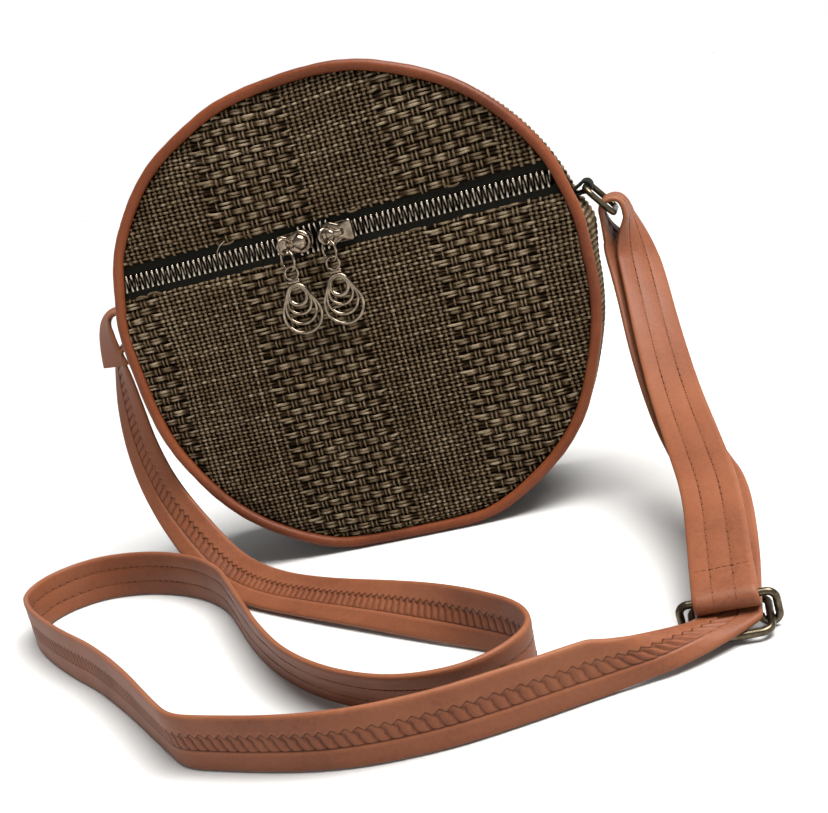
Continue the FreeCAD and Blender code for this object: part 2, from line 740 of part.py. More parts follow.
tab_turn = math.radians(size("tab_angle"))
ring_turn = math.radians(size("ring_angle"))
tab_reach = size("bag_radius") + size("tab_stand")
bar_point = arch_middle + FreeCAD.Vector(math.cos(tab_turn), 0, math.sin(tab_turn)) * tab_reach
ring_along = FreeCAD.Vector(math.cos(ring_turn), 0, -math.sin(ring_turn))
ring_shape = wire_frame(
    bar_point + ring_along * (size("ring_length") / 2),
    Y_AXIS,
    ring_along,
    size("ring_width"),
    size("ring_length"),
    size("ring_corner"),
    size("ring_wire"),
)
right_tab = node("right_ring_tab", ring_tab("RightTab"))
right_ring = node("right_ring", feature("RightRing", ring_shape))
node("left_ring_tab", mirrored("LeftTab", right_tab))
node("left_ring", mirrored("LeftRing", right_ring))

# Slide buckle

slope = math.radians(size("buckle_slope"))
buckle_middle = FreeCAD.Vector(size("buckle_x"), size("buckle_y"), size("buckle_z"))
buckle_down = FreeCAD.Vector(0, -math.cos(slope), -math.sin(slope))
buckle_up = FreeCAD.Vector(0, -math.sin(slope), math.cos(slope))
buckle_shape = wire_frame(
    buckle_middle,
    X_AXIS,
    buckle_down,
    size("buckle_width"),
    size("buckle_length"),
    size("buckle_corner"),
    size("buckle_wire"),
)
node("slide_buckle_frame", feature("BuckleFrame", buckle_shape))


def buckle_bar():
    """The bar above the frame, with an end hooked round each side of it."""
    reach = size("buckle_width") / 2
    hook = size("hook_radius")
    rise = size("bar_rise")
    wire = size("buckle_wire")
    bend = hook * (1 - math.sqrt(1 / 2))

    def spot(across, high):
        return buckle_middle + X_AXIS * across + buckle_up * high

    def half_path(way):
        outer = way * (reach + hook)
        return [
            (spot(way * reach, rise), spot(outer - way * bend, rise - bend), spot(outer, rise - hook)),
            (spot(outer, rise - hook), None, spot(outer, 0)),
            (spot(outer, 0), spot(way * reach, -hook), spot(way * (reach - hook), 0)),
        ]

    edges = []
    for start, through, finish in reversed(half_path(-1)):
        if through is None:
            edges.append(Part.LineSegment(finish, start).toShape())
        else:
            edges.append(Part.Arc(finish, through, start).toShape())
    edges.append(Part.LineSegment(spot(-reach, rise), spot(reach, rise)).toShape())
    for start, through, finish in half_path(1):
        if through is None:
            edges.append(Part.LineSegment(start, finish).toShape())
        else:
            edges.append(Part.Arc(start, through, finish).toShape())
    return tube(edges, wire, spot(-(reach - hook), 0), buckle_up)


node("slide_buckle_bar", feature("BuckleBar", buckle_bar()))

# Strap


def smooth(points):
    """A smooth curve of second degree that starts and ends on the list."""
    curve = Part.BSplineCurve()
    spans = len(points) - 2
    knots = list(range(spans + 1))
    counts = [3] + [1] * (spans - 1) + [3]
    curve.buildFromPolesMultsKnots(points, counts, knots, False, 2)
    return curve


def ribbon(points, sides):
    """A flat strap along a route, with its width along the given sides."""
    ratio = size("bag_radius") / ROUTE_RADIUS
    middle = smooth([FreeCAD.Vector(*point) * ratio for point in points])
    side = smooth([FreeCAD.Vector(*way) for way in sides])
    spans = len(points) - 2
    half = size("strap_width") / 2
    thin = size("strap_thick") / 2
    rings = []
    for step in range(spans * STEPS_PER_SPAN + 1):
        place = step / STEPS_PER_SPAN
        here = middle.value(place)
        along = FreeCAD.Vector(*middle.tangent(place)[0])
        wide = side.value(place)
        wide = (wide - along * wide.dot(along)).normalize()
        up = wide.cross(along)
        corners = [
            here + wide * half + up * thin,
            here - wide * half + up * thin,
            here - wide * half - up * thin,
            here + wide * half - up * thin,
        ]
        rings.append(Part.makePolygon(corners + corners[:1]))
    solid = Part.makeLoft(rings, True, True)
    print("strap run %.0f mm" % middle.length())
    return solid


node("shoulder_strap", feature("ShoulderStrap", ribbon(STRAP_POINTS, STRAP_SIDES)))
node("strap_adjusting_layer", feature("StrapLayer", ribbon(LAYER_POINTS, LAYER_SIDES)))

doc.recompute()
os.makedirs("parts", exist_ok=True)
for item in doc.Objects:
    states = [word for word in item.State if word in ("Invalid", "Error")]
    if states:
        raise RuntimeError("%s: %s" % (item.Name, states))
for name, item in nodes.items():
    shape = item.Shape
    if shape.isNull() or not shape.isValid() or len(shape.Solids) != 1:
        raise RuntimeError("%s is not one valid solid: %d" % (name, len(shape.Solids)))
    shape.exportStep("parts/%s.step" % name)
    print(name, "%.1f mm3" % shape.Volume)
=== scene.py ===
from math import asin, cos, degrees, pi, radians, sin

import bpy
import numpy as np
from mathutils import Matrix, Vector


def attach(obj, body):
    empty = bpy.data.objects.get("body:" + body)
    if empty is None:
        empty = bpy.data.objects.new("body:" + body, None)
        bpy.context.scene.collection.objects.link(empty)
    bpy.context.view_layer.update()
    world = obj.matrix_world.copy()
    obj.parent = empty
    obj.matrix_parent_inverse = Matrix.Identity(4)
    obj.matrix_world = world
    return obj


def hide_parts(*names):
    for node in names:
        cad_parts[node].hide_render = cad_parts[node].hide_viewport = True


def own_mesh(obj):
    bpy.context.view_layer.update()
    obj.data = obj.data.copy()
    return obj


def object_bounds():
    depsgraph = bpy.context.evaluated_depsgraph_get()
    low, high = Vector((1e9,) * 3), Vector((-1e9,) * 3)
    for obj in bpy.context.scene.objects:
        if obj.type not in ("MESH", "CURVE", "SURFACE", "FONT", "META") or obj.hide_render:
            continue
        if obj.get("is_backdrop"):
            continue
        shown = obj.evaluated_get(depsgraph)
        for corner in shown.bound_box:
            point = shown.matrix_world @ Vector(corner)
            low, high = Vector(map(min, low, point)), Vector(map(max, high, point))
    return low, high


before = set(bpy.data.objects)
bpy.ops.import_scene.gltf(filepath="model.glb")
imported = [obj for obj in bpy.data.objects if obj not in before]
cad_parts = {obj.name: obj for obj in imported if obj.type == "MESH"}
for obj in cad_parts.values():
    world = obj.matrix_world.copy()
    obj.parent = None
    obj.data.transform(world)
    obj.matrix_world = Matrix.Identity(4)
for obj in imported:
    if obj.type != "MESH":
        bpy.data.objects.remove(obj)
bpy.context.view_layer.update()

# Circle bag. Sizes are in millimetres, and every mesh is written in metres.

MM = 0.001
SEED = 5837

BAG_RADIUS = 97
CENTRE_HEIGHT = 95
FACE_DEPTH = 32
PANEL_RADIUS = 94.9
PANEL_FLOOR = 4.6
PIPING_RADIUS = 2.2
PIPING_REACH = 97.3
UNDER_EDGE = 2.2
GUSSET_HALF = 29.6
SEAM_RISE = 20
SEAM_LAP = 6

ZIP_HEIGHT = 128.5
ZIP_WINDOW = 12.5
TAPE_DEPTH = -30.45
TAPE_EDGE = 3.4
TAPE_REACH = 12
TAPE_THICK = 0.8
CHAIN_HALF = 86
CHAIN_SHOWN = 89.6
TOOTH_PITCH = 2.3
TOOTH_LAP = 1.7
TOOTH_ROOT = 3.5
TOOTH_THICK = 2.6
OPEN_SHIFT = 2.4
OPEN_LEFT = -13.25
OPEN_RIGHT = 0.65
OPEN_JOG = 1
LEFT_SLIDER = -15
RIGHT_SLIDER = 2.4
SLIDER_LENGTH = 13.5
MAIN_SLIDER_TURN = -68
MAIN_CHAIN_RADIUS = 92.25
MAIN_CHAIN_FIRST = 22
MAIN_CHAIN_LAST = 158

WARP_PITCH = 2.3
WEFT_PITCH = 1.58
YARN_LIFT = 0.42

STRAP_HALF = 9.5
STITCH_PITCH = 3.9
STITCH_PLACES = (-3.3, 3.3)
ZIGZAG_PITCH = 3.8
ZIGZAG_LOW = 2.1
ZIGZAG_HIGH = 3.7
ZIGZAG_LEAN = 0.42
SEAM_PLACE = -2.7
FLAP_SLANT = 5
PLAIN_END = 30
END_SEAM_BACK = 38
END_SEAM_HALF = 8.2

# The soft outline: how far the round edge leaves a true circle, as a share
# of the radius, by the angle in degrees from the right side, upwards.
OUTLINE_SHARES = [
    (0, -0.015), (14, 0.002), (27, 0.016), (45, 0.015), (70, 0), (94, -0.018),
    (115, 0), (135, 0.022), (150, 0.022), (166, 0.002), (184, -0.02), (205, -0.004),
    (225, 0.006), (250, -0.004), (270, 0), (300, 0), (318, 0.008), (340, -0.012),
]

# The back is drawn in a little more, as a share of the radius, by angle.
BACK_SHARES = [
    (0, -0.062), (14, -0.078), (30, -0.088), (60, -0.088), (85, -0.066), (140, -0.015),
    (180, -0.012), (230, -0.008), (270, 0), (310, -0.012), (335, -0.042),
]

# Strap routes, and the direction of the strap's width at each of their points
STRAP_POINTS = [
    (112.2, 0, 104.5), (112.2, 0, 112.8), (102.3, 0, 112.8), (102.3, 0, 103), (106.5, -1, 92),
    (109.5, -12, 74), (111, -30, 55), (116, -62, 35), (123, -92, 25.5), (128.5, -112.9, 21.2),
    (128.5, -152.2, 13.5), (126, -186.5, 6.85), (126, -191.5, 6.2), (106.5, -209, 8.6),
    (95, -213.5, 9.4), (86, -217, 9.6), (76, -221.5, 9.7), (61, -227.5, 9.7), (46, -232.5, 9.7),
    (22, -235, 9.7), (0, -231, 9.7), (-24, -222.5, 9.7), (-37, -217, 9.7), (-46, -206, 9.7),
    (-72, -171, 9.7), (-96, -142, 9.7), (-114, -124, 9.7), (-132, -104, 9.7), (-148, -84, 9.7),
    (-159, -64, 9.7), (-157, -44, 9.7), (-142, -33, 9.7), (-122, -36, 9.7), (-102, -46, 9.7),
    (-82, -62, 9.7), (-66, -82, 9.7), (-54, -105, 9.7), (-41, -130, 9.7), (-26, -156, 9.6),
    (-8, -181, 9.4), (14, -201.5, 9.2), (36, -214, 9.2), (56, -214, 9.3), (70, -199, 9.6),
    (66, -180, 9.7), (48, -163, 9.5), (28, -145, 8.7), (4, -124, 7.2), (-26, -99, 5.4),
    (-51, -78, 5), (-72, -58, 8), (-88, -42, 20), (-103, -27, 38), (-112, -14, 55),
    (-115, -7, 71), (-115, -4, 86), (-115, -1.5, 100.5), (-101.5, 0, 102.5), (-101.8, 0, 114),
    (-113.5, 0, 117), (-119.2, -1.5, 106.5), (-116, -5.5, 91),
]
STRAP_SIDES = [
    (-0.12, -0.99, 0), *[(0, -1, 0)] * 3, (-0.6, -0.8, 0), (-0.78, -0.6, 0.1), (-0.85, -0.48, 0.18),
    (-0.94, -0.28, 0.15), *[(-1, 0, 0)] * 4, (-1, -0.05, 0.08), (-0.7, -0.22, 0.68), (-0.4, -0.3, 0.86),
    (-0.2, -0.25, 0.93), (-0.1, -0.2, 0.96), *[(0, -0.15, 1)] * 7, *[(0, 0, 1)] * 14,
    (-0.09, -0.12, 0.99), (-0.2, -0.28, 0.94), (-0.24, -0.38, 0.89), (-0.15, -0.43, 0.89),
    (0.1, -0.36, 0.93), (0.15, -0.1, 0.98), (0, 0, 1), (0.18, 0.18, 0.96), (0.4, 0.42, 0.82),
    (0.55, 0.58, 0.6), (0.64, 0.68, 0.4), (0.66, 0.66, 0.38), (0.68, 0.6, 0.4), (0.75, 0.25, 0.5),
    (0.85, -0.1, 0.45), (0.9, -0.35, 0.25), (0.85, -0.5, 0.1), (0.7, -0.7, 0.05), (0.4, -0.9, 0),
    (0.1, -1, 0), (0.1, -1, 0), (0.48, -0.88, 0), (0.64, -0.77, 0), (0.84, -0.54, 0),
]
# Where the strap leaves the buckle its sides run off aslant, not square.
STRAP_ASLANT = range(12, 15)
LAYER_POINTS = [
    (112.2, 0, 104.45), (112, 0, 93), (113.3, -12, 80), (114.5, -30, 62.5), (117.5, -62, 45.5),
    (122, -96, 34), (126, -129.2, 26.2), (126, -166.4, 18.3), (126, -182.1, 15.3),
    (126, -190.9, 13.5), (126, -189.9, 8.4), (126, -181.1, 10.5), (126, -169.7, 14.4),
]
LAYER_SIDES = [
    (-0.12, -0.99, 0), (-0.7, -0.72, 0.05), (-0.82, -0.55, 0.1), (-0.88, -0.42, 0.15), (-0.95, -0.25, 0.1),
    *[(-1, 0, 0)] * 8,
]

CENTRE = np.array([0, 0, CENTRE_HEIGHT])
X_WAY, Y_WAY, Z_WAY = np.eye(3)
chance = np.random.default_rng(SEED)


# Meshes


def xyz(x, y, z):
    """Points from three arrays or numbers."""
    return np.stack(np.broadcast_arrays(x, y, z), axis=-1)


def round_turns(count):
    """Angles spread evenly round a full turn."""
    return np.linspace(0, 2 * pi, count, endpoint=False)


def grid(rows, columns, round_rows=False, round_columns=False):
    """Four-cornered faces between points that are kept row by row."""
    row = np.arange(rows if round_rows else rows - 1)
    column = np.arange(columns if round_columns else columns - 1)
    row, column = np.meshgrid(row, column, indexing="ij")
    here = row * columns
    ahead = (row + 1) % rows * columns
    beside = (column + 1) % columns
    corners = [here + column, here + beside, ahead + beside, ahead + column]
    return np.stack(corners, axis=-1).reshape(-1, 4)


def cap(first, sides):
    """Faces that close a ring of an even number of points."""
    step = np.arange(sides // 2 - 1)
    corners = [first + step, first + step + 1, first + sides - 2 - step, first + sides - 1 - step]
    return np.stack(corners, axis=-1)


class Shape:
    """Points and four-cornered faces, with a material and a tone for each. The tone carries painted shade
    and painted highlights as well as the colour's own variation.
    """

    def __init__(self):
        self.points = []
        self.faces = []
        self.slots = []
        self.tones = []
        self.count = 0

    def add(self, points, faces, slot=0, tone=0.5):
        points = np.asarray(points, float).reshape(-1, 3)
        self.points.append(points)
        self.faces.append(np.asarray(faces, int) + self.count)
        self.slots.append(np.full(len(faces), slot))
        self.tones.append(np.broadcast_to(np.asarray(tone, float), len(points)))
        self.count += len(points)

    def skin(self, rings, slot=0, tone=0.5, flip=False, shut_first=True):
        """A closed skin over a row of rings, with caps at its ends."""
        rings = np.asarray(rings)
        count, sides = rings.shape[:2]
        faces = [grid(count, sides, False, True)]
        if shut_first:
            faces.append(cap(0, sides)[:, ::-1])
        faces.append(cap((count - 1) * sides, sides))
        self.add(rings, np.concatenate(faces)[:, ::-1 if flip else 1], slot, tone)

    def make(self, name, materials):
        points = np.concatenate(self.points) * MM
        faces = np.concatenate(self.faces)
        mesh = bpy.data.meshes.new(name)
        mesh.from_pydata(points, [], faces, shade_flat=False)
        mesh.polygons.foreach_set("material_index", np.concatenate(self.slots).astype(np.int32))
        tone = mesh.attributes.new("tone", "FLOAT", "POINT")
        tone.data.foreach_set("value", np.concatenate(self.tones).astype(np.float32))
        for material in materials:
            mesh.materials.append(material)
        item = bpy.data.objects.new(name, mesh)
        bpy.context.scene.collection.objects.link(item)
        return item


def piece(name, shape, materials, node=None, body="bag"):
    item = shape.make(name, materials)
    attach(item, body)
    if node:
        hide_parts(node)
    return item


def unit(vectors):
    return vectors / np.maximum(np.linalg.norm(vectors, axis=-1, keepdims=True), 1e-9)


def tangents(points, closed=False):
    if closed:
        return unit(np.roll(points, -1, axis=0) - np.roll(points, 1, axis=0))
    return unit(np.gradient(points, axis=0))


def tube(shape, points, radius, sides=8, closed=False, slot=0, tone=0.5, flat=Y_WAY, deep=1):
    """A wire of round section along a path that stays square to one direction."""
    points = np.asarray(points, float)
    along = tangents(points, closed)
    out = unit(flat - along * np.sum(flat * along, axis=1, keepdims=True))
    wide = np.cross(along, out)
    turn = round_turns(sides)[:, None]
    ring = np.cos(turn) * wide[:, None, :] + deep * np.sin(turn) * out[:, None, :]
    radius = np.broadcast_to(radius, len(points))[:, None, None]
    rings = points[:, None, :] + radius * ring
    if closed:
        shape.add(rings, grid(len(points), sides, True, True), slot, tone)
    else:
        shape.skin(rings, slot, tone)


def smooth_step(value, low, high):
    share = np.clip((value - low) / (high - low), 0, 1)
    return share * share * (3 - 2 * share)


# The soft form of the bag

SOFT_FIRST = 0.5 * BAG_RADIUS
SOFT_FULL = 0.95 * BAG_RADIUS
REST_SOFTNESS = 1.5
FACE_DOME = 2
FACE_DIP = 1.1
FACE_DIP_WIDTH = 5
FACE_WAVE = 0.35


def share_at(pairs, angle):
    """A smooth reading of (degrees, share) pairs at an angle in radians."""
    angles, shares = np.array(pairs + [(360, pairs[0][1])]).T
    turn = np.degrees(angle) % 360
    step = np.clip(np.searchsorted(angles, turn, side="right") - 1, 0, len(angles) - 2)
    part = (turn - angles[step]) / (angles[step + 1] - angles[step])
    part = (1 - np.cos(pi * part)) / 2
    return shares[step] * (1 - part) + shares[step + 1] * part


def settle(x, z, floor, back=0, ease=1):
    """Move a place on the round form to where the soft edge brings it.

    back goes from 0 at the front face to 1 at the back face, and ease from
    0 on the true arch to 1 on the soft edge."""
    high = z - CENTRE_HEIGHT
    angle = np.arctan2(high, x)
    weight = smooth_step(np.hypot(x, high), SOFT_FIRST, SOFT_FULL)
    share = share_at(OUTLINE_SHARES, angle) + back * share_at(BACK_SHARES, angle)
    stretch = 1 + ease * share * weight
    new_z = CENTRE_HEIGHT + high * stretch
    over = np.clip((new_z - floor) / REST_SOFTNESS, -40, 40)
    lifted = floor + REST_SOFTNESS * np.log1p(np.exp(over))
    return x * stretch, np.where(new_z < floor + 8 * REST_SOFTNESS, lifted, new_z)


def rim(angle, radius, floor, back=0, ease=1):
    """A place on the bag's edge at one radius."""
    return settle(radius * np.cos(angle), CENTRE_HEIGHT + radius * np.sin(angle), floor, back, ease)


def face_swell(x, z):
    """How far the front or back stands out from its flat place."""
    radius = np.hypot(x, z - CENTRE_HEIGHT)
    dome = FACE_DOME * np.clip(1 - (radius / PANEL_RADIUS) ** 2, 0, 1) ** 0.8
    dip = FACE_DIP * smooth_step(radius, PANEL_RADIUS - FACE_DIP_WIDTH, PANEL_RADIUS)
    waves = FACE_WAVE * np.sin(x / 23 + 0.6) * np.sin(z / 31 + 1.1)
    return dome - dip + waves * np.clip(1 - radius / PANEL_RADIUS, 0, 1)


def front_depth(x, z):
    """The front's middle surface, drawn flat beside the zip."""
    above = smooth_step(z - ZIP_HEIGHT, ZIP_WINDOW / 2, ZIP_WINDOW / 2 + 26)
    below = smooth_step(ZIP_HEIGHT - z, ZIP_WINDOW / 2 + 19, ZIP_WINDOW / 2 + 60)
    return -FACE_DEPTH - face_swell(x, z) * (0.02 + 0.98 * np.maximum(above, below))


def back_depth(x, z):
    return FACE_DEPTH + face_swell(x, z)


# Materials


def join(tree, node, sockets):
    """Set a node's inputs, each to a constant or to another node's output."""
    for key, value in sockets.items():
        if isinstance(value, bpy.types.NodeSocket):
            tree.links.new(value, node.inputs[key])
        else:
            node.inputs[key].default_value = value
    return node


def add_node(tree, kind, sockets=None, **settings):
    node = join(tree, tree.nodes.new("ShaderNode" + kind), sockets or {})
    for key, value in settings.items():
        setattr(node, key, value)
    return node.outputs


def colour_ramp(tree, source, stops):
    ramp = tree.nodes.new("ShaderNodeValToRGB")
    spots = ramp.color_ramp.elements
    while len(spots) < len(stops):
        spots.new(0.5)
    for spot, (place, colour) in zip(spots, stops):
        spot.position = place
        spot.color = (*colour, 1)
    return join(tree, ramp, {"Fac": source}).outputs["Color"]


def maths(tree, how, *values):
    return add_node(tree, "Math", dict(enumerate(values)), operation=how)[0]


def noise(tree, scale, detail=3, rough=0.55):
    place = add_node(tree, "TexCoord")["Object"]
    sockets = {"Vector": place, "Scale": scale, "Detail": detail, "Roughness": rough}
    return add_node(tree, "TexNoise", sockets)["Fac"]


def ribs(tree):
    """Fine slanting ribs, both ways."""
    place = add_node(tree, "TexCoord")["Object"]
    waves = []
    for way in ((1, 0, 1), (1, 0, -1)):
        run = add_node(tree, "VectorMath", {0: place, 1: way}, operation="DOT_PRODUCT")["Value"]
        waves.append(maths(tree, "SINE", maths(tree, "MULTIPLY", run, 7000)))
    return maths(tree, "MULTIPLY_ADD", maths(tree, "MAXIMUM", *waves), 0.5, 0.5)


def surface(name, sources, stops, rough, specular=0.5, relief=None, toned=False, metallic=0, pores=0):
    """A material coloured by a tone and by shares of its sources about their middles.

    The last source makes the relief, given by a strength and a distance in
    metres. rough is one value, or two between which it varies."""
    made = bpy.data.materials.new(name)
    made.use_nodes = True
    tree = made.node_tree
    value = add_node(tree, "Attribute", attribute_name="tone")["Fac"] if toned else 0.5
    for share, kind, *how in sources:
        grain = kind(tree, *how)
        about = maths(tree, "SUBTRACT", grain, 0.5)
        value = maths(tree, "ADD", value, maths(tree, "MULTIPLY", about, share))
    if isinstance(rough, tuple):
        sockets = {"Value": value if metallic else grain, "To Min": rough[0], "To Max": rough[1]}
        rough = add_node(tree, "MapRange", sockets)["Result"]
    if pores:
        place = add_node(tree, "TexCoord")["Object"]
        pore = add_node(tree, "TexVoronoi", {"Vector": place, "Scale": pores})["Distance"]
        grain = maths(tree, "ADD", maths(tree, "MULTIPLY", pore, 0.6), grain)
    sockets = {
        "Base Color": colour_ramp(tree, value, stops), "Roughness": rough,
        "Specular IOR Level": specular, "Metallic": metallic,
    }
    if relief:
        bump = {"Height": grain, "Strength": relief[0], "Distance": relief[1]}
        sockets["Normal"] = add_node(tree, "Bump", bump)["Normal"]
    join(tree, tree.nodes["Principled BSDF"], sockets)
    return made


def leather(name, deep, middle, pale, pores, shine):
    stops = [(0, [0.25 * part for part in deep]), (0.25, deep), (0.5, middle), (0.85, pale)]
    sources = [(0.5, noise, 24), (0.25, noise, 700)]
    return surface(name, sources, stops, (shine - 0.08, shine + 0.14), 0.2, (0.22, 0.00025), True, 0, pores)


def thread(name, dark, pale):
    stops = [(0.3, dark), (0.7, pale)]
    return surface(name, [(1, noise, 2500, 2)], stops, 0.7, 0.1, (0.4, 0.0002))


def metal(name, dark, pale, low, high, worn, toned=False):
    sources = [(1 - worn, noise, 350, 4), (worn, noise, 3000, 2)]
    stops = [(0.3, dark), (0.62, pale)]
    return surface(name, sources, stops, (high, low), 0.5, (0.06, 0.0001), toned, 1)


# Woven straw, coloured by its tone. The tone holds the yarns' random tone, painted shade where they dip and
# on their sides, and painted light on their tops.
STRAW = surface(
    "woven_straw", [(0.2, noise, 60, 2), (0.75, noise, 2600, 4, 0.6)],
    [
        (0, (0.004, 0.0022, 0.0008)), (0.3, (0.015, 0.0085, 0.0035)), (0.55, (0.058, 0.037, 0.0185)),
        (0.8, (0.132, 0.096, 0.058)), (1, (0.27, 0.212, 0.142)),
    ],
    (0.62, 0.88), 0.06, (0.5, 0.0003), True,
)
# A near-black sheet just behind the yarns, standing in for the shade in the gaps of the weave: painted
# shade.
SHADE_SHEET = surface(
    "painted_shade_sheet", [(1, noise, 1400)],
    [(0.3, (0.004, 0.0025, 0.0012)), (0.75, (0.012, 0.008, 0.004))], 0.9, 0.03, (0.4, 0.0003),
)
STRAP_LEATHER = leather(
    "strap_leather", (0.078, 0.022, 0.0085), (0.172, 0.056, 0.025), (0.25, 0.096, 0.045), 1500, 0.5
)
PIPING_LEATHER = leather(
    "piping_leather", (0.06, 0.015, 0.005), (0.15, 0.037, 0.012), (0.23, 0.066, 0.022), 1800, 0.42
)
THREAD = thread("strap_thread", (0.12, 0.038, 0.016), (0.2, 0.068, 0.031))
# Needle holes, drawn as flat dark marks with no hole cut: painted shade. The layer's end seam stitches use
# the same dark colour.
HOLE = thread("needle_holes", (0.022, 0.008, 0.004), (0.05, 0.018, 0.009))
FIBRE = thread("loose_fibre", (0.16, 0.12, 0.08), (0.36, 0.3, 0.22))
TAPE = surface(
    "black_tape", [(0.6, noise, 900), (0.4, ribs)],
    [(0.2, (0.0026, 0.0026, 0.0017)), (0.9, (0.0085, 0.0085, 0.006))], 0.85, 0.12, (0.5, 0.00015),
)
LINING = surface(
    "lining_cloth", [(0.4, noise, 30, 2), (0.6, noise, 1800, 2)],
    [(0.3, (0.01, 0.008, 0.006)), (0.7, (0.03, 0.024, 0.018))], 0.8, 0.5, (0.3, 0.0002),
)
# The teeth are toned from the tone attribute: painted shade on their heads and a painted highlight on their
# roots.
TEETH = metal("silver_teeth", (0.045, 0.034, 0.024), (0.52, 0.45, 0.36), 0.22, 0.42, 0.3, True)
NICKEL = metal("warm_nickel", (0.1, 0.074, 0.05), (0.34, 0.275, 0.205), 0.1, 0.24, 0.25)
BRASS = metal("dark_brass", (0.03, 0.023, 0.014), (0.13, 0.105, 0.07), 0.2, 0.4, 0.2)
FLOOR = surface(
    "pale_floor", [(1, noise, 3, 2)], [(0.3, (0.56, 0.56, 0.555)), (0.7, (0.58, 0.58, 0.575))], 0.9, 0.1
)


# Woven cloth, yarn by yarn

SECTION_TURNS = np.radians([-20, 35, 90, 145, 200])
# How a yarn falls from over one crossing to under the next: place between
# the two, and level.
WARP_FALL = [0, 0.3, 0.5, 0.7, 1]
WEFT_FALL = [0, 0.25, 0.42, 0.65, 1]
FALL_LEVELS = [1, 0.6, -0.35, -0.85, -1]
WARP_SPOTS = [0, 0.5]
WEFT_SPOTS = [-0.25, 0, 0.25, 0.5]
# Half widths and tones of warps, in plain cloth and in a basket band
WARP_HALVES = (0.6, 0.43)
WARP_TONES = (0.54, 0.46)
WARP_THICK = 0.44
WARP_PAIRING = 0.3
WEFT_HALF = 0.49
WEFT_TONE = 0.58
WEFT_THICK = 0.43
WEFT_PAIRING = 0.17
WEFT_KNOTS = 40
TONE_SPREAD = 0.06
WIDTH_SPREAD = 0.1


def spots_along(ends, centres, shares):
    """Places along a yarn: its ends, and shares of the pitch beside each crossing."""
    pitch = np.median(np.diff(centres))
    spots = np.sort((centres[:, None] + pitch * np.asarray(shares)).ravel())
    inside = spots[(spots > ends[0] + 0.1) & (spots < ends[1] - 0.1)]
    return np.concatenate([[ends[0]], inside, [ends[1]]])


def yarn(shape, spots, wide, heights, place, along_first, half, thick, tone):
    """One yarn of half-round section. place turns (u, v, height) into points."""
    rise = thick * np.sin(SECTION_TURNS)
    run = spots[:, None]
    side = wide[:, None] + np.atleast_1d(half)[:, None] * np.cos(SECTION_TURNS)
    height = heights[:, None] + rise
    points = place(run, side, height) if along_first else place(side, run, height)
    # Painted light and shade: a yarn is painted darker where it dips under a crossing and lighter where it
    # rises over one, darker on the sides of its section and lighter on its top. The tone it is given also
    # varies at random.
    tones = tone + 0.22 * heights[:, None] / YARN_LIFT + 0.16 * (rise / thick - 0.6)
    faces = grid(len(spots), len(SECTION_TURNS))
    shape.add(points, faces[:, ::-1 if along_first else 1], 0, tones.ravel())


def crossing_heights(spots, centres, states, fall_places):
    """Heights along a yarn that goes over or under at each crossing."""
    place = np.interp(spots, centres, np.arange(len(centres)))
    low = np.floor(place).astype(int)
    high = np.minimum(low + 1, len(centres) - 1)
    part = np.where(states[low] > states[high], place - low, 1 - (place - low))
    fall = np.interp(part, fall_places, FALL_LEVELS)
    return YARN_LIFT * np.where(states[low] == states[high], states[low], fall)


def weave(shape, warps, wefts, bands, u_span, v_span, place):
    """Draw a cloth of warps along v and wefts along u, plain or in basket bands.

    u_span gives a weft's ends and v_span a warp's, or None."""
    inside = np.zeros(len(warps), bool)
    for low, high in bands:
        inside |= (warps >= low) & (warps <= high)
    column, row = np.meshgrid(np.arange(len(warps)), np.arange(len(wefts)), indexing="ij")
    plain = (column + row) % 2 == 0
    basket = (column // 2 + row // 2) % 2 == 0
    states = np.where(np.where(inside[:, None], basket, plain), 1, -1)
    pull = np.where(np.arange(len(warps)) % 2 == 0, WARP_PAIRING, -WARP_PAIRING)
    warps = warps + np.where(inside, pull, 0)
    edges = np.flatnonzero(np.diff(inside.astype(int)))
    missing = [edge + (0 if inside[edge] else 1) for edge in edges]
    for column, u in enumerate(warps):
        ends = v_span(u)
        if ends is None or column in missing:
            continue
        spots = spots_along(ends, wefts, WARP_SPOTS)
        heights = crossing_heights(spots, wefts, -states[column], WARP_FALL)
        kind = int(inside[column])
        tone = WARP_TONES[kind] + chance.normal(0, TONE_SPREAD)
        sway = 0.09 * np.sin(spots / 6.3 + chance.uniform(0, 6)) + chance.normal(0, 0.07)
        half = WARP_HALVES[kind] * (1 + chance.normal(0, WIDTH_SPREAD))
        yarn(shape, spots, u + sway, heights, place, False, half, WARP_THICK, tone)
    for row, v in enumerate(wefts):
        ends = u_span(v)
        spots = spots_along(ends, warps, WEFT_SPOTS)
        heights = crossing_heights(spots, warps, states[:, row], WEFT_FALL)
        knots = np.linspace(*ends, WEFT_KNOTS)
        blotch = np.interp(spots, knots, chance.normal(0, 1, WEFT_KNOTS))
        tone = WEFT_TONE + chance.normal(0, TONE_SPREAD) + 0.075 * blotch[:, None]
        wander = np.interp(spots, knots, chance.normal(0, 0.14, WEFT_KNOTS))
        swell = np.interp(spots, knots, chance.normal(0, 0.13, WEFT_KNOTS))
        near = np.interp(spots, warps, inside.astype(float))
        half = WEFT_HALF * (1 + chance.normal(0, WIDTH_SPREAD) + swell + 0.16 * near)
        side = v + wander + near * (WEFT_PAIRING if row % 2 == 0 else -WEFT_PAIRING)
        yarn(shape, spots, side, heights, place, True, half, WEFT_THICK, tone)


def weft_places(low, high):
    return np.arange(np.ceil(low / WEFT_PITCH), np.floor(high / WEFT_PITCH) + 1) * WEFT_PITCH


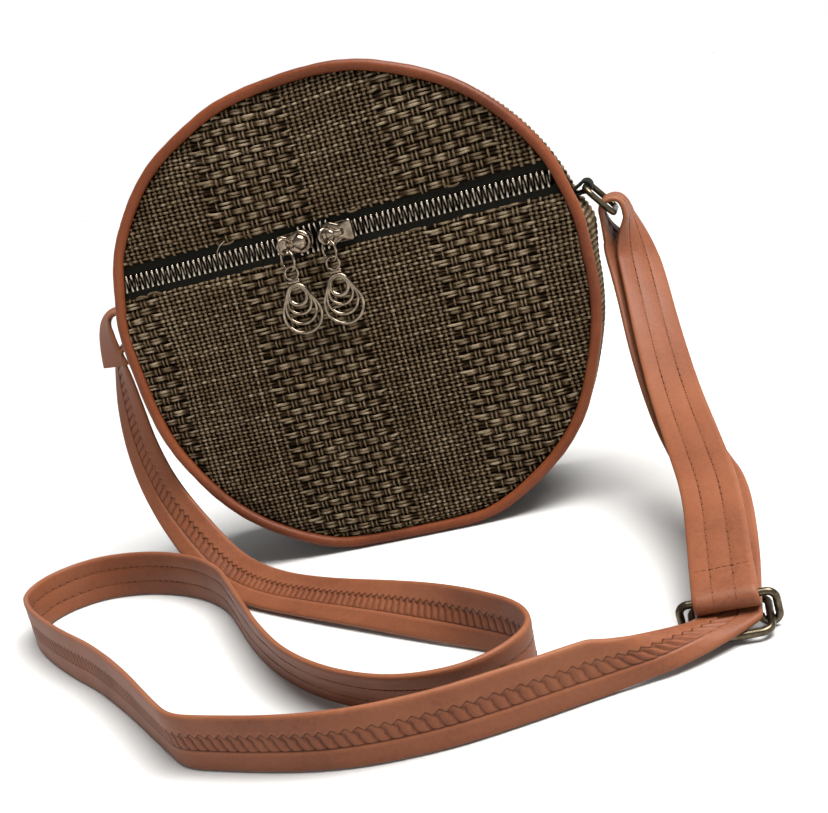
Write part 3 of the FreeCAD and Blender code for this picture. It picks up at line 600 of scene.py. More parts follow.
UPPER_BANDS = [(-45, -6), (30, 71)]
LOWER_BANDS = [(-99, -79), (-40, 3), (39, 77)]
WARPS = WARP_PITCH * np.arange(-41, 42)
WOVEN = [STRAW, SHADE_SHEET, FIBRE]
FOLD = 1.6
PANEL_FOLD_DEPTH = 1.3
SHADE_SHEET_DEPTH = 0.95
SHADE_SHEET_STEPS = 60
LOOP_RADIUS = 0.44
FIBRE_RADIUS = 0.16
LOWER_EDGE = ZIP_HEIGHT - ZIP_WINDOW / 2
UPPER_EDGE = ZIP_HEIGHT + ZIP_WINDOW / 2
PANEL_TOP = CENTRE_HEIGHT + PANEL_RADIUS
PANEL_LOW = CENTRE_HEIGHT - PANEL_RADIUS

# Yarn loops that stand up from the cut edges beside the zip: place along
# the edge, width and rise.
LOWER_LOOPS = [
    (-84, 4.5, 1), (-78.5, 6.2, 1.5), (-33, 5, 0.8), (33, 4.6, 0.7), (69, 4.6, 0.7),
]
UPPER_LOOPS = [(-42, 5.2, 0.8), (11, 3.8, 0.6), (52, 4.6, 0.7)]
STRAY_FIBRE = [
    (-43, -32.6, 136), (-44.2, -33.4, 135.4), (-45.6, -33.6, 134.3), (-46.7, -33.4, 133),
    (-47.4, -32.9, 131.6), (-47.7, -32.2, 130.4),
]


def chord(value, radius):
    """Half of a circle's chord at a distance from its middle."""
    return np.sqrt(np.maximum(radius ** 2 - value ** 2, 0))


def loose_loop(shape, x, width, rise, edge, way):
    """A yarn that arches out over a cut edge."""
    turn = np.linspace(0, pi, 13)
    along = x - width / 2 * np.cos(turn)
    z = edge + way * (rise * np.sin(turn) - 0.7)
    y = front_depth(along, np.full_like(along, edge)) - 0.35 - 0.5 * np.sin(turn)
    tube(shape, xyz(along, y, z), LOOP_RADIUS, 6, tone=0.66)


def round_panel(name, node, low, high, depth, way, bands, loops=(), fibres=(), back=0):
    """One woven panel of the round front or back, between two heights."""
    shape = Shape()

    def v_span(u):
        half = chord(u, PANEL_RADIUS)
        ends = np.array([max(low, CENTRE_HEIGHT - half), min(high, CENTRE_HEIGHT + half)])
        jitter = chance.uniform(-0.35, 0.35, 2)
        return ends + jitter if ends[1] - ends[0] > 4 else None

    def u_span(v):
        half = chord(v - CENTRE_HEIGHT, PANEL_RADIUS)
        return -half, half

    def place(u, v, height):
        x, z = settle(u, v, PANEL_FLOOR, back)
        fold = 0
        for gap in (v - low, high - v):
            fold = fold + PANEL_FOLD_DEPTH * np.clip(1 - gap / FOLD, 0, 1.2) ** 2
        return xyz(x, depth(u, v) + way * (height - fold), z)

    weave(shape, WARPS, weft_places(low, high), bands, u_span, v_span, place)
    edge, side = (high, 1) if high == LOWER_EDGE else (low, -1)
    for x, width, rise in loops:
        loose_loop(shape, x, width, rise, edge, side)
    for fibre in fibres:
        tube(shape, fibre, FIBRE_RADIUS, 6, slot=2)
    # A near-black sheet behind the yarns: painted shade in the gaps of the weave.
    v = np.linspace(low, high, SHADE_SHEET_STEPS)[:, None]
    u = chord(v - CENTRE_HEIGHT, PANEL_RADIUS + UNDER_EDGE) * np.linspace(-1, 1, SHADE_SHEET_STEPS)
    x, z = settle(u, v, PANEL_FLOOR, back)
    sheet = xyz(x, depth(u, v) - way * SHADE_SHEET_DEPTH, z)
    shape.add(sheet, grid(SHADE_SHEET_STEPS, SHADE_SHEET_STEPS), 1)
    piece(name, shape, WOVEN, node)


round_panel(
    "woven_front_upper", "front_panel_upper", UPPER_EDGE, PANEL_TOP, front_depth, -1,
    UPPER_BANDS, UPPER_LOOPS, [STRAY_FIBRE],
)
round_panel(
    "woven_front_lower", "front_panel_lower", PANEL_LOW, LOWER_EDGE, front_depth, -1,
    LOWER_BANDS, LOWER_LOOPS,
)
round_panel("woven_back", "back_panel", PANEL_LOW, PANEL_TOP, back_depth, 1, LOWER_BANDS, back=1)


# Side bands

BAND_FLOOR = 0.4
BAND_SINK = 0.9
BAND_SHADE_SHEET = -0.85
BAND_FOLD_DEPTH = 1.1
GUSSET_BULGE = 3.4
STRIP_RISE = 2.6
STRIP_CROWN = 2
STRIP_SINK = 2.2


def arc_band(name, radius, first, last, low, high, bulge, edge_rise):
    """A woven band round the bag between two angles and two depths.

    bulge is how far its middle stands out and edge_rise how far its outer
    edges climb to the corded edge."""
    shape = Shape()
    length = radius * radians(last - first)
    run = np.arange(0, int(length / WARP_PITCH)) * WARP_PITCH + WARP_PITCH / 2

    def fold(gap):
        return BAND_FOLD_DEPTH * np.clip(1 - gap / FOLD, 0, 1) ** 2

    def place(u, v, height):
        angle = radians(first) + u / radius
        ends = np.minimum(u, length - u)
        deep = np.abs(v)
        swell = bulge * (1 - (v / GUSSET_HALF) ** 2) * (0.25 + 0.75 * smooth_step(ends, 0, 11))
        swell = swell + edge_rise * smooth_step(deep, GUSSET_HALF - 4.5, GUSSET_HALF)
        ease = smooth_step(deep, TAPE_REACH + 0.5, GUSSET_HALF - 3)
        if bulge:
            ease = 1 - (1 - ease) * (1 - smooth_step(ends, 4, 26))
        else:
            swell = swell + STRIP_CROWN * (1 - smooth_step(deep, 9, 23))
        reach = radius - BAND_SINK + height - (fold(u) + fold(length - u)) + swell
        back = ((v + GUSSET_HALF) / (2 * GUSSET_HALF)) ** 2
        x, z = rim(angle, reach, BAND_FLOOR, back, ease)
        return xyz(x, v, z)

    weave(shape, run, weft_places(low, high), (), lambda v: (0, length), lambda u: (low, high), place)
    # A near-black sheet behind the yarns: painted shade in the gaps of the weave.
    u, v = np.meshgrid(np.linspace(0, length, 120), np.linspace(low, high, 8), indexing="ij")
    shape.add(place(u, v, BAND_SHADE_SHEET), grid(*u.shape), 1)
    piece("woven_" + name, shape, [STRAW, SHADE_SHEET], name)


SEAM_TURN = degrees(asin(SEAM_RISE / BAG_RADIUS))
STRIP_RADIUS = BAG_RADIUS - STRIP_SINK
STRIP_TURN = degrees(asin((SEAM_RISE - SEAM_LAP) / STRIP_RADIUS))
arc_band(
    "bottom_gusset", BAG_RADIUS, -180 - SEAM_TURN, SEAM_TURN, -GUSSET_HALF, GUSSET_HALF, GUSSET_BULGE, 0
)
for name, low, high in (
    ("top_gusset_front_strip", -GUSSET_HALF, -ZIP_WINDOW / 2),
    ("top_gusset_back_strip", ZIP_WINDOW / 2, GUSSET_HALF),
):
    arc_band(name, STRIP_RADIUS, STRIP_TURN, 180 - STRIP_TURN, low, high, 0, STRIP_RISE)


# Corded edges

PIPING_SIDES = 14


def piping(side, depth, back):
    shape = Shape()
    angle = round_turns(420)
    x, z = rim(angle, PIPING_REACH, PIPING_RADIUS + 0.05, back)
    swell = 1 + 0.02 * np.sin(angle * 37) + 0.015 * np.sin(angle * 83 + 1)
    tone = 0.48 + 0.1 * np.sin(angle * 5 + 0.4) * np.sin(angle * 3)
    tones = np.repeat(tone, PIPING_SIDES)
    tube(shape, xyz(x, depth, z), PIPING_RADIUS * swell, PIPING_SIDES, True, tone=tones)
    piece("corded_edge_" + side, shape, [PIPING_LEATHER], side + "_piping")


piping("front", -FACE_DEPTH, 0)
piping("back", FACE_DEPTH, 1)


# Linings

LINING_THICK = 0.5


def out_and_back(values):
    """Values along one face of a cloth and back along the other, and the thickness there."""
    thick = np.repeat([0, LINING_THICK], len(values))
    return np.concatenate([values, values[::-1]])[:, None], thick[:, None]


def lining_disc(name, depth, swell, node, back):
    shape = Shape()
    angle = round_turns(96)
    share, thick = out_and_back(np.linspace(0.03, 1, 18))
    x, z = rim(angle, (PANEL_RADIUS - 2.5) * share, PANEL_FLOOR, back)
    fall = swell * (1 - share ** 2) + 0.5 * np.sin(angle * 4 + 6 * share) * share * (1 - share)
    shape.add(xyz(x, depth + fall + thick, z), grid(*x.shape, True, True))
    piece(name, shape, [LINING], node)


def lining_band():
    shape = Shape()
    angle = np.radians(np.linspace(-180 - STRIP_TURN + 1, STRIP_TURN - 1, 140))
    depth, thick = out_and_back(np.linspace(-28.8, 28.8, 20))
    sag = 0.5 * np.cos(depth / 9) * np.sin(angle * 9)
    back = (depth + GUSSET_HALF) / (2 * GUSSET_HALF)
    x, z = rim(angle, BAG_RADIUS - 3.2 - thick + 0.3 * sag, 2.6 + thick, back)
    shape.add(xyz(x, depth, z), grid(*x.shape, True, False))
    piece("cloth_gusset_lining", shape, [LINING], "lining_gusset")


lining_disc("cloth_back_lining", 29.9, -0.8, "lining_back", 1)
lining_disc("cloth_pocket_lining", -22, 0.9, "pocket_lining", 0.15)
lining_band()


# Zip tapes


def tape(face, inward, chain, side):
    """A tape from a grid of points on its outer face and the way to its inner face."""
    shape = Shape()
    back = face + inward * TAPE_THICK
    shape.skin(np.concatenate([face, back[:, ::-1]], axis=1))
    piece("tape_%s_%s" % (chain, side), shape, [TAPE], "%s_zip_%s_tape" % (chain, side))


def open_away(x):
    """How far the tape's edge is drawn back where the chain stands open."""
    rise = smooth_step(x, OPEN_LEFT - 3 * OPEN_JOG, OPEN_LEFT + OPEN_JOG)
    fall = smooth_step(x, OPEN_RIGHT - OPEN_JOG, OPEN_RIGHT + 3 * OPEN_JOG)
    return OPEN_SHIFT * (rise - fall)


def front_tape(side, way):
    """A tape whose ends follow the round edge of the front."""
    shares = np.linspace(0, 1, 9)
    place = np.linspace(-1, 1, 260)[:, None]
    middle = place * CHAIN_HALF
    inner = TAPE_EDGE - 0.5 + open_away(middle)
    inner = inner * (1 - smooth_step(np.abs(place), 0.962, 0.985)) + 0.05
    z = ZIP_HEIGHT + way * (inner * (1 - shares) + TAPE_REACH * shares)
    x = place * chord(z - CENTRE_HEIGHT, PANEL_RADIUS + UNDER_EDGE)
    ripple = 0.12 * np.sin(middle / 7 + way) * np.sin(pi * shares)
    x, z = settle(x, z, 0)
    tape(xyz(x, TAPE_DEPTH - TAPE_THICK / 2 - ripple, z), Y_WAY, "front", side)


def arch_tape(side, way):
    shares = np.linspace(0, 1, 8)
    turn = np.radians(np.linspace(STRIP_TURN, 180 - STRIP_TURN, 180))[:, None]
    past = np.abs(np.degrees(turn) - 90) - (MAIN_CHAIN_LAST - MAIN_CHAIN_FIRST) / 2
    inner = (TAPE_EDGE - 0.3) * (1 - smooth_step(past, 0.3, 2.3)) + 0.05
    across = inner * (1 - shares) + TAPE_REACH * shares
    ripple = 0.1 * np.sin(turn * 40 + way)
    reach = MAIN_CHAIN_RADIUS + TAPE_THICK / 2 + ripple * np.sin(pi * shares)
    face = xyz(reach * np.cos(turn), way * across, CENTRE_HEIGHT + reach * np.sin(turn))
    tape(face, -xyz(np.cos(turn), 0, np.sin(turn)), "main", side)


front_tape("upper", 1)
front_tape("lower", -1)
arch_tape("front", -1)
arch_tape("back", 1)


# Zip teeth: a tooth's half width, half depth and tone from its head at the
# middle line to its root on the tape, by the share of its length. The tone is
# painted light: the heads are painted darker as shade and the roots bright as a
# highlight.

TOOTH_SHARES = [0, 0.05, 0.2, 0.36, 0.6, 0.86, 0.96, 1]
TOOTH_WIDTHS = [0.2, 0.32, 0.36, 0.32, 0.42, 0.52, 0.5, 0.32]
TOOTH_DEPTHS = [0.5, 0.7, 0.8, 0.7, 1, 1.3, 1.24, 0.85]
TOOTH_PAINTED_LIGHT = [0.3, 0.3, 0.3, 0.34, 0.45, 0.72, 0.85, 0.85]
TOOTH_TURNS = np.radians(np.arange(8) * 45 + 22.5)
TOOTH_TILT = 0.05
LEFT_STOP = -73.3
RIGHT_STOP = 74.7
MAIN_STOP = 41.2


def squared(value):
    return np.sign(value) * np.abs(value) ** 0.6


TOOTH_ACROSS = np.outer(TOOTH_WIDTHS, squared(np.cos(TOOTH_TURNS)))
TOOTH_OUT = np.outer(TOOTH_DEPTHS, squared(np.sin(TOOTH_TURNS)))
TOOTH_REACH = -TOOTH_LAP + np.array(TOOTH_SHARES)[:, None] * (TOOTH_ROOT + TOOTH_LAP)


def teeth_row(name, spots, low, high, place):
    """The teeth between two spots of a row. place gives the points of the tooth at a spot."""
    shape = Shape()
    for spot in spots[(spots >= low) & (spots < high)]:
        shape.skin(place(spot), tone=np.repeat(TOOTH_PAINTED_LIGHT, len(TOOTH_TURNS)))
    return piece(name, shape, [TEETH])


def front_row(name, way, low, high, away=0):
    """The teeth of one front row between two places along the zip."""
    start = -CHAIN_SHOWN + (TOOTH_PITCH / 2 if way > 0 else 0)
    spots = start + TOOTH_PITCH * np.arange(int(2 * CHAIN_SHOWN / TOOTH_PITCH) + 1)

    def place(x):
        lean = TOOTH_ACROSS + chance.normal(0, TOOTH_TILT) * (TOOTH_REACH - 1)
        return xyz(x + lean, TAPE_DEPTH - TOOTH_OUT, ZIP_HEIGHT + way * (TOOTH_REACH + away))

    return teeth_row(name, spots, low, high, place)


for label, way in (("upper", 1), ("lower", -1)):
    open_first = OPEN_LEFT - OPEN_JOG / 2
    open_last = OPEN_RIGHT + OPEN_JOG / 2
    left = front_row("teeth_%s_left_run" % label, way, LEFT_STOP, open_first)
    right = front_row("teeth_%s_right_run" % label, way, open_last, RIGHT_STOP)
    middle = front_row("teeth_%s_open" % label, way, open_first, open_last, OPEN_SHIFT)
    front_row("teeth_%s_left_end" % label, way, -CHAIN_SHOWN, LEFT_STOP)
    front_row("teeth_%s_right_end" % label, way, RIGHT_STOP, CHAIN_SHOWN)
    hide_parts("front_zip_%s_teeth" % label)
    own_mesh(left)
    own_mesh(right)


def main_row(name, way, first, last):
    """The teeth of one main row between two angles in degrees."""
    step = degrees(TOOTH_PITCH / MAIN_CHAIN_RADIUS)
    start = MAIN_CHAIN_FIRST + 0.6 + (step / 2 if way < 0 else 0)
    spots = start + step * np.arange(int((MAIN_CHAIN_LAST - MAIN_CHAIN_FIRST) / step))

    def place(spot):
        turn = radians(spot)
        reach = MAIN_CHAIN_RADIUS + TOOTH_OUT
        x = reach * cos(turn) - TOOTH_ACROSS * sin(turn)
        return xyz(x, way * TOOTH_REACH, CENTRE_HEIGHT + reach * sin(turn) + TOOTH_ACROSS * cos(turn))

    return teeth_row(name, spots, first, last, place)


for label, way in (("front", -1), ("back", 1)):
    run = main_row("teeth_main_%s_run" % label, way, MAIN_STOP, MAIN_CHAIN_LAST)
    main_row("teeth_main_%s_end" % label, way, MAIN_CHAIN_FIRST, MAIN_STOP)
    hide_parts("main_zip_%s_teeth" % label)
    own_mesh(run)


# Sliders, drawn with the nose towards +X and the front towards -Y

SLIDER_INNER = TOOTH_THICK / 2 + 0.35
PLATE_FRONT = 1.6
PLATE_BACK = 1.2
FRONT_CROWN = 0.28
BACK_CROWN = 0.15
NOSE_RADIUS = 4.75
TAIL_HALF = 4.25
TAIL_CORNER = 0.7
WAIST_HALF = 3.5
PLATE_MIDDLE = 0.3
# From the inner to the outer face: share of the outline, height as a share
# of the thickness, and share of the crown.
PLATE_PROFILE = [
    (0.86, 0, 0), (0.97, 0.02, 0), (1, 0.25, 0), (1, 0.62, 0), (0.965, 0.86, 0),
    (0.9, 1, 0), (0.72, 1, 0.45), (0.48, 1, 0.75), (0.24, 1, 0.93), (0.04, 1, 1),
]
WALL_LAST = 0.8
WALL_DEPTH = 0.9
WALL_INNER = 3.6
WALL_OUTER = 4.05
BRIDGE_FOOT = -3.1
BRIDGE_RUN = 3.3
BRIDGE_RISE = 3.5
# The bridge's section: place across and height
BRIDGE_SECTION = [
    (1.2, -0.1), (1, 0.3), (0.5, 0.44), (-0.5, 0.44), (-1, 0.3), (-1.2, -0.1),
    (-0.95, -0.34), (0.95, -0.34),
]
DOME_FIRST = -0.3
DOME_LAST = 5.9
DOME_RISE = 3.7
DOME_NECK = 1.45
DOME_WIDEN = 2.1
DOME_LEAST = 0.05


def slider_outline():
    """The plate seen from the front: a round nose, a waist and a square tail."""
    half = SLIDER_LENGTH / 2
    start = half - NOSE_RADIUS
    turn = np.linspace(-pi / 2, pi / 2, 32)
    nose = np.stack([start + NOSE_RADIUS * np.cos(turn), NOSE_RADIUS * np.sin(turn)], axis=-1)
    x = np.linspace(start, TAIL_CORNER - half, 16)[1:]
    share = (start - x) / (2 * half - NOSE_RADIUS - TAIL_CORNER)
    waist = (NOSE_RADIUS - WAIST_HALF) * np.sin(pi * share) ** 2
    side = np.stack([x, NOSE_RADIUS + (TAIL_HALF - NOSE_RADIUS) * share - waist], axis=-1)
    tail = np.array([(-half + 0.15, TAIL_HALF - 0.25), (-half, TAIL_HALF - 0.8)])
    top = np.concatenate([side, tail])
    return np.concatenate([nose, top, top[::-1] * np.array([1, -1])])


def slider(node, middle, nose, back, side_way):
    """Two plates, side walls, the bridge over the front and the dome at the nose."""
    shape = Shape()
    outline = slider_outline()
    share, height, crown_share = np.array(PLATE_PROFILE).T[:, :, None]

    def turn_points(points):
        return middle + points[..., :1] * nose + points[..., 1:2] * back + points[..., 2:] * side_way

    for start, thick, way, crown in (
        (-SLIDER_INNER, PLATE_FRONT, -1, FRONT_CROWN), (SLIDER_INNER, PLATE_BACK, 1, BACK_CROWN),
    ):
        x = PLATE_MIDDLE + (outline[:, 0] - PLATE_MIDDLE) * share
        y = start + way * thick * (height + crown_share * crown)
        shape.skin(turn_points(xyz(x, y, outline[:, 1] * share)), flip=way < 0)

    x = np.linspace(-SLIDER_LENGTH / 2 + 0.3, WALL_LAST, 6)
    for side in (1, -1):
        for start in (-SLIDER_INNER, SLIDER_INNER - WALL_DEPTH):
            last = start + WALL_DEPTH
            corners = [(start, WALL_INNER), (last, WALL_INNER), (last, WALL_OUTER), (start, WALL_OUTER)]
            loop = [xyz(x, depth, side * across) for depth, across in corners]
            shape.skin(turn_points(np.swapaxes(loop, 0, 1)))

    base = -SLIDER_INNER - PLATE_FRONT
    turn = np.linspace(0, pi / 2, 14)
    rise = base + 0.2 - BRIDGE_RISE * np.sin(turn) ** 0.6
    path = xyz(BRIDGE_FOOT + BRIDGE_RUN * (1 - np.cos(turn)), rise, 0)
    out = np.cross(tangents(path), Z_WAY)
    rows = [path - out * high + Z_WAY * across for across, high in BRIDGE_SECTION]
    shape.skin(turn_points(np.swapaxes(rows, 0, 1)), shut_first=False)

    over = np.linspace(0, pi, 17)
    x = DOME_FIRST + (DOME_LAST - DOME_FIRST) * np.sin(np.linspace(0, pi / 2, 20))[:, None]
    share = (x - DOME_FIRST) / (DOME_LAST - DOME_FIRST)
    widen = DOME_NECK + DOME_WIDEN * smooth_step(share, 0, 0.45)
    round_off = chord(np.maximum(0, (share - 0.4) / 0.6), 1)
    rise = np.maximum(DOME_LEAST, DOME_RISE * round_off ** 0.8)
    half = np.maximum(DOME_LEAST, widen * round_off)
    rows = xyz(x, base + 0.3 - rise * np.sin(over) ** 0.85, half * np.cos(over))
    start = rows[:1] * np.array([1, 0, 1]) + Y_WAY * (base + 0.3)
    dome = turn_points(np.concatenate([start, rows]))
    shape.add(dome, grid(*dome.shape[:2]))
    piece("cast_" + node, shape, [NICKEL], node, node)


slider("left_slider", np.array([LEFT_SLIDER, TAPE_DEPTH, ZIP_HEIGHT]), X_WAY, Y_WAY, Z_WAY)
slider("right_slider", np.array([RIGHT_SLIDER, TAPE_DEPTH, ZIP_HEIGHT]), -X_WAY, Y_WAY, -Z_WAY)
turn = radians(MAIN_SLIDER_TURN)
out = np.array([sin(turn), 0, cos(turn)])
tail = np.array([cos(turn), 0, -sin(turn)])
slider("main_slider", CENTRE + out * MAIN_CHAIN_RADIUS, -tail, -out, Y_WAY)


# Pendants

LEFT_CHAIN_X = -18.25
RIGHT_CHAIN_X = -0.85
CHAIN_DEPTH = -37.65
PENDANT_EYE_HEIGHT = 117.55
# Wires of a pendant: radius and fall of the round top and of the round foot
# below the pendant's eye, then the wire's radius at the top and at the foot.
PENDANT_WIRES = [
    (4.1, 8.6, 7.8, 16.5, 0.54, 0.74),
    (3.8, 8.6, 6.2, 14.3, 0.38, 0.74),
    (3.6, 8.7, 4.8, 11.7, 0.38, 0.74),
    (3.35, 8.8, 3.6, 9.2, 0.42, 1.05),
]
EYELET_RADIUS = 2.65
EYELET_WIRE = 0.44
NECK_FALL = 3.35
NECK_HALF = 2.3
NECK_WIRE = 0.85


def drop_points(small, small_fall, big, big_fall):
    """A closed teardrop: the hull of a small round top and a large round foot."""
    lean = asin((big - small) / (big_fall - small_fall))
    lower = np.linspace(pi - lean, 2 * pi + lean, 54)
    upper = np.linspace(lean, pi - lean, 27)
    x = np.concatenate([big * np.cos(lower), small * np.cos(upper)])
    z = np.concatenate([big * np.sin(lower) - big_fall, small * np.sin(upper) - small_fall])
    return xyz(x, 0, z)


def pendant(node, x):
    """A teardrop of nested wires with an eye on a flat neck."""
    shape = Shape()
    for small, small_fall, big, big_fall, thin, thick in PENDANT_WIRES:
        points = drop_points(small, small_fall, big, big_fall)
        top = points[:, 2].max()
        share = (top - points[:, 2]) / (top - points[:, 2].min())
        points = points + np.array([x, CHAIN_DEPTH, PENDANT_EYE_HEIGHT])
        tube(shape, points, thin + (thick - thin) * share ** 1.5, 10, True)
    turn = round_turns(36)
    z = PENDANT_EYE_HEIGHT + EYELET_RADIUS * np.cos(turn)
    tube(shape, xyz(x + EYELET_RADIUS * np.sin(turn), CHAIN_DEPTH, z), EYELET_WIRE, closed=True)
    across = np.linspace(-NECK_HALF, NECK_HALF, 12)
    tube(shape, xyz(x + across, CHAIN_DEPTH, PENDANT_EYE_HEIGHT - NECK_FALL), NECK_WIRE, 10, deep=0.6)
    piece("wire_" + node, shape, [NICKEL], node, node)


pendant("left_pendant", LEFT_CHAIN_X)
pendant("right_pendant", RIGHT_CHAIN_X)


# Ring tabs

TAB_ANGLE = radians(14)
TAB_REACH = 101.5
TAB_ROOT = 6.4
TAB_LOOP_RADIUS = 2.15
TAB_WIDTH = 14
TAB_THICK = 1.2
TAB_EDGE_SHARE = 0.35


def ring_tab(side, way):
    """A folded tape that holds the ring's inner bar."""
    shape = Shape()
    out = np.array([cos(TAB_ANGLE), 0, sin(TAB_ANGLE)])
    up = np.array([-sin(TAB_ANGLE), 0, cos(TAB_ANGLE)])
    middle = CENTRE + out * TAB_REACH
    turn = np.radians(np.linspace(125, -125, 26))[:, None]
    loop = middle + TAB_LOOP_RADIUS * (np.cos(turn) * out + np.sin(turn) * up)
    root = middle - out * TAB_ROOT
    start = np.linspace(root + up * 0.62, loop[0], 6, endpoint=False)
    finish = np.linspace(loop[-1], root - up * 0.62, 6)[1:]
    path = np.concatenate([start, loop, finish])
    square = np.cross(tangents(path), Y_WAY)
    face = np.repeat([1, -1], 9)[:, None]
    share = face * np.tile(np.linspace(-1, 1, 9), 2)[:, None]
    high = face * TAB_THICK / 2 * (1 - TAB_EDGE_SHARE * np.abs(share) ** 6)
    rows = path[:, None] + Y_WAY * (TAB_WIDTH / 2 * share) + square[:, None] * high
    shape.skin(rows * np.array([way, 1, 1]), flip=way < 0)
    piece("folded_%s_tab" % side, shape, [TAPE], side + "_ring_tab")


ring_tab("right", 1)
ring_tab("left", -1)


# Strap


def spline_points(points, name):
    """Points read from a smooth spline with the given control points."""
    curve = bpy.data.curves.new(name, "CURVE")
    curve.dimensions = "3D"
    spline = curve.splines.new("NURBS")
    spline.points.add(len(points) - 1)
    for spot, point in zip(spline.points, points):
        spot.co = (*point, 1)
    spline.order_u = 3
    spline.use_endpoint_u = True
    spline.resolution_u = 48
    item = bpy.data.objects.new(name, curve)
    bpy.context.scene.collection.objects.link(item)
    bpy.context.view_layer.update()
    mesh = bpy.data.meshes.new_from_object(item)
    found = np.array([vertex.co for vertex in mesh.vertices], float)
    bpy.data.objects.remove(item)
    bpy.data.meshes.remove(mesh)
    bpy.data.curves.remove(curve)
    return found


class Route:
    """A strap's middle line, width direction and face direction by length."""

    def __init__(self, points, sides, name, aslant=()):
        slants = [(float(step in aslant), 0, 0) for step in range(len(points))]
        line, wide, slant = [spline_points(part, name) for part in (points, sides, slants)]
        gaps = np.linalg.norm(np.diff(line, axis=0), axis=1)
        keep = np.concatenate([[True], gaps > 1e-6])
        self.line = line[keep]
        self.wide = wide[keep]
        self.slant = slant[keep]
        gaps = np.linalg.norm(np.diff(self.line, axis=0), axis=1)
        self.length_at = np.concatenate([[0], np.cumsum(gaps)])
        self.length = self.length_at[-1]

    def at(self, length):
        """The middle, width and face directions at lengths along the strap."""
        length = np.asarray(length, float)
        middle = self.read(self.line, length)
        ahead = self.read(self.line, np.clip(length + 0.4, 0, self.length))
        behind = self.read(self.line, np.clip(length - 0.4, 0, self.length))
        along = unit(ahead - behind)
        wide = unit(self.read(self.wide, length))
        square = 1 - self.read(self.slant, length)[..., :1]
        wide = unit(wide - square * along * np.sum(wide * along, axis=-1, keepdims=True))
        return middle, wide, unit(np.cross(wide, along))

    def read(self, values, length):
        return np.stack([np.interp(length, self.length_at, column) for column in values.T], axis=-1)

    def place(self, length, across, high):
        middle, wide, face = self.at(length)
        return middle + wide * np.asarray(across)[..., None] + face * np.asarray(high)[..., None]


def strap_section(length, plain_from):
    """Columns round the strap's section, from the zigzag face round to the
    stitched one: place across, height and tone. The tone paints light and shade:
    a highlight on the raised zigzag edge and a shadow line below it, dark creases
    in the zigzag band, a dark line in the seam groove with a highlight on the
    seam's ridge, and slight shade in the stitch grooves."""
    turn = (length / ZIGZAG_PITCH) % 1
    share = np.where(turn < ZIGZAG_LEAN, turn / ZIGZAG_LEAN, (1 - turn) / (1 - ZIGZAG_LEAN))
    edge = ZIGZAG_LOW + (ZIGZAG_HIGH - ZIGZAG_LOW) * share
    columns = [
        # The column on the raised zigzag edge is painted lighter, a painted highlight, and the column just
        # below it much darker, a painted shadow line.
        (9.1, 0.86, 0.58), (8.2, 1.02, 0.5), (6.6, 1, 0.5), (edge + 1.2, 0.95, 0.52),
        (edge + 0.25, 1.04, 0.62), (edge - 0.1, 0.75, 0.12),
    ]
    # The tone dips along each crease of the zigzag band: painted shade in the creases.
    for share in np.linspace(0.1, 0.9, 6):
        across = edge * (1 - share) + SEAM_PLACE * share
        phase = (length / ZIGZAG_PITCH + 0.8 * share + 0.1 * sin(6 * share)) % 1
        high = 0.3 + 0.62 * np.sin(pi * np.clip(0.08 + phase, 0, 1)) ** 0.8
        columns.append((across, high, 0.5 - 0.26 * np.exp(-((np.minimum(phase, 1 - phase) / 0.1) ** 2))))
    # The seam's groove is painted dark, as painted shade, and its ridge lighter, as a painted highlight.
    columns += [
        (SEAM_PLACE + 0.22, 0.62, 0.1), (SEAM_PLACE - 0.15, 1.04, 0.6), (SEAM_PLACE - 1.4, 0.98, 0.5),
        (-6.6, 1.02, 0.5), (-8.2, 1.02, 0.5), (-9.1, 0.86, 0.58), (-9.48, 0.35, 0.6),
        (-9.48, -0.35, 0.6), (-9.1, -0.88, 0.58), (-7.8, -1.04, 0.5), (-5.4, -1, 0.5),
    ]
    sewn = 1 - smooth_step(length, plain_from - 4, plain_from)
    # Where the strap is sewn, the stitch groove is painted a little darker: painted shade in the groove.
    for place in STITCH_PLACES:
        groove = (place, -0.97 + 0.17 * sewn, 0.5 - 0.07 * sewn)
        columns += [(place - 0.6, -0.97, 0.5), groove, (place + 0.6, -0.97, 0.5)]
    return columns + [
        (5.4, -1, 0.5), (7.8, -1.04, 0.5), (9.1, -0.88, 0.58), (9.48, -0.35, 0.6), (9.48, 0.35, 0.6),
    ]


def stitch_row(shape, route, place, face, first, last):
    """Straight stitches and their needle holes along one line."""
    share = np.linspace(0, 1, 5)
    arch = np.sin(pi * share)
    for start in np.arange(first, last, STITCH_PITCH):
        spots = start + 0.6 + share * (STITCH_PITCH - 1.2)
        points = route.place(spots, np.full(5, place), face * (0.74 + 0.14 * arch ** 0.5))
        normal = route.at(spots[2])[2] * face
        tube(shape, points, 0.17 + 0.07 * arch, 4, slot=1, flat=normal)
        # The needle holes: flat dark marks of painted shade.
        spots = np.clip(start + np.linspace(-0.55, 0.55, 4), 0, route.length)
        points = route.place(spots, np.full(4, place), np.full(4, face * 0.76))
        tube(shape, points, np.array([0.14, 0.38, 0.38, 0.14]), 4, slot=2, flat=normal, deep=0.6)


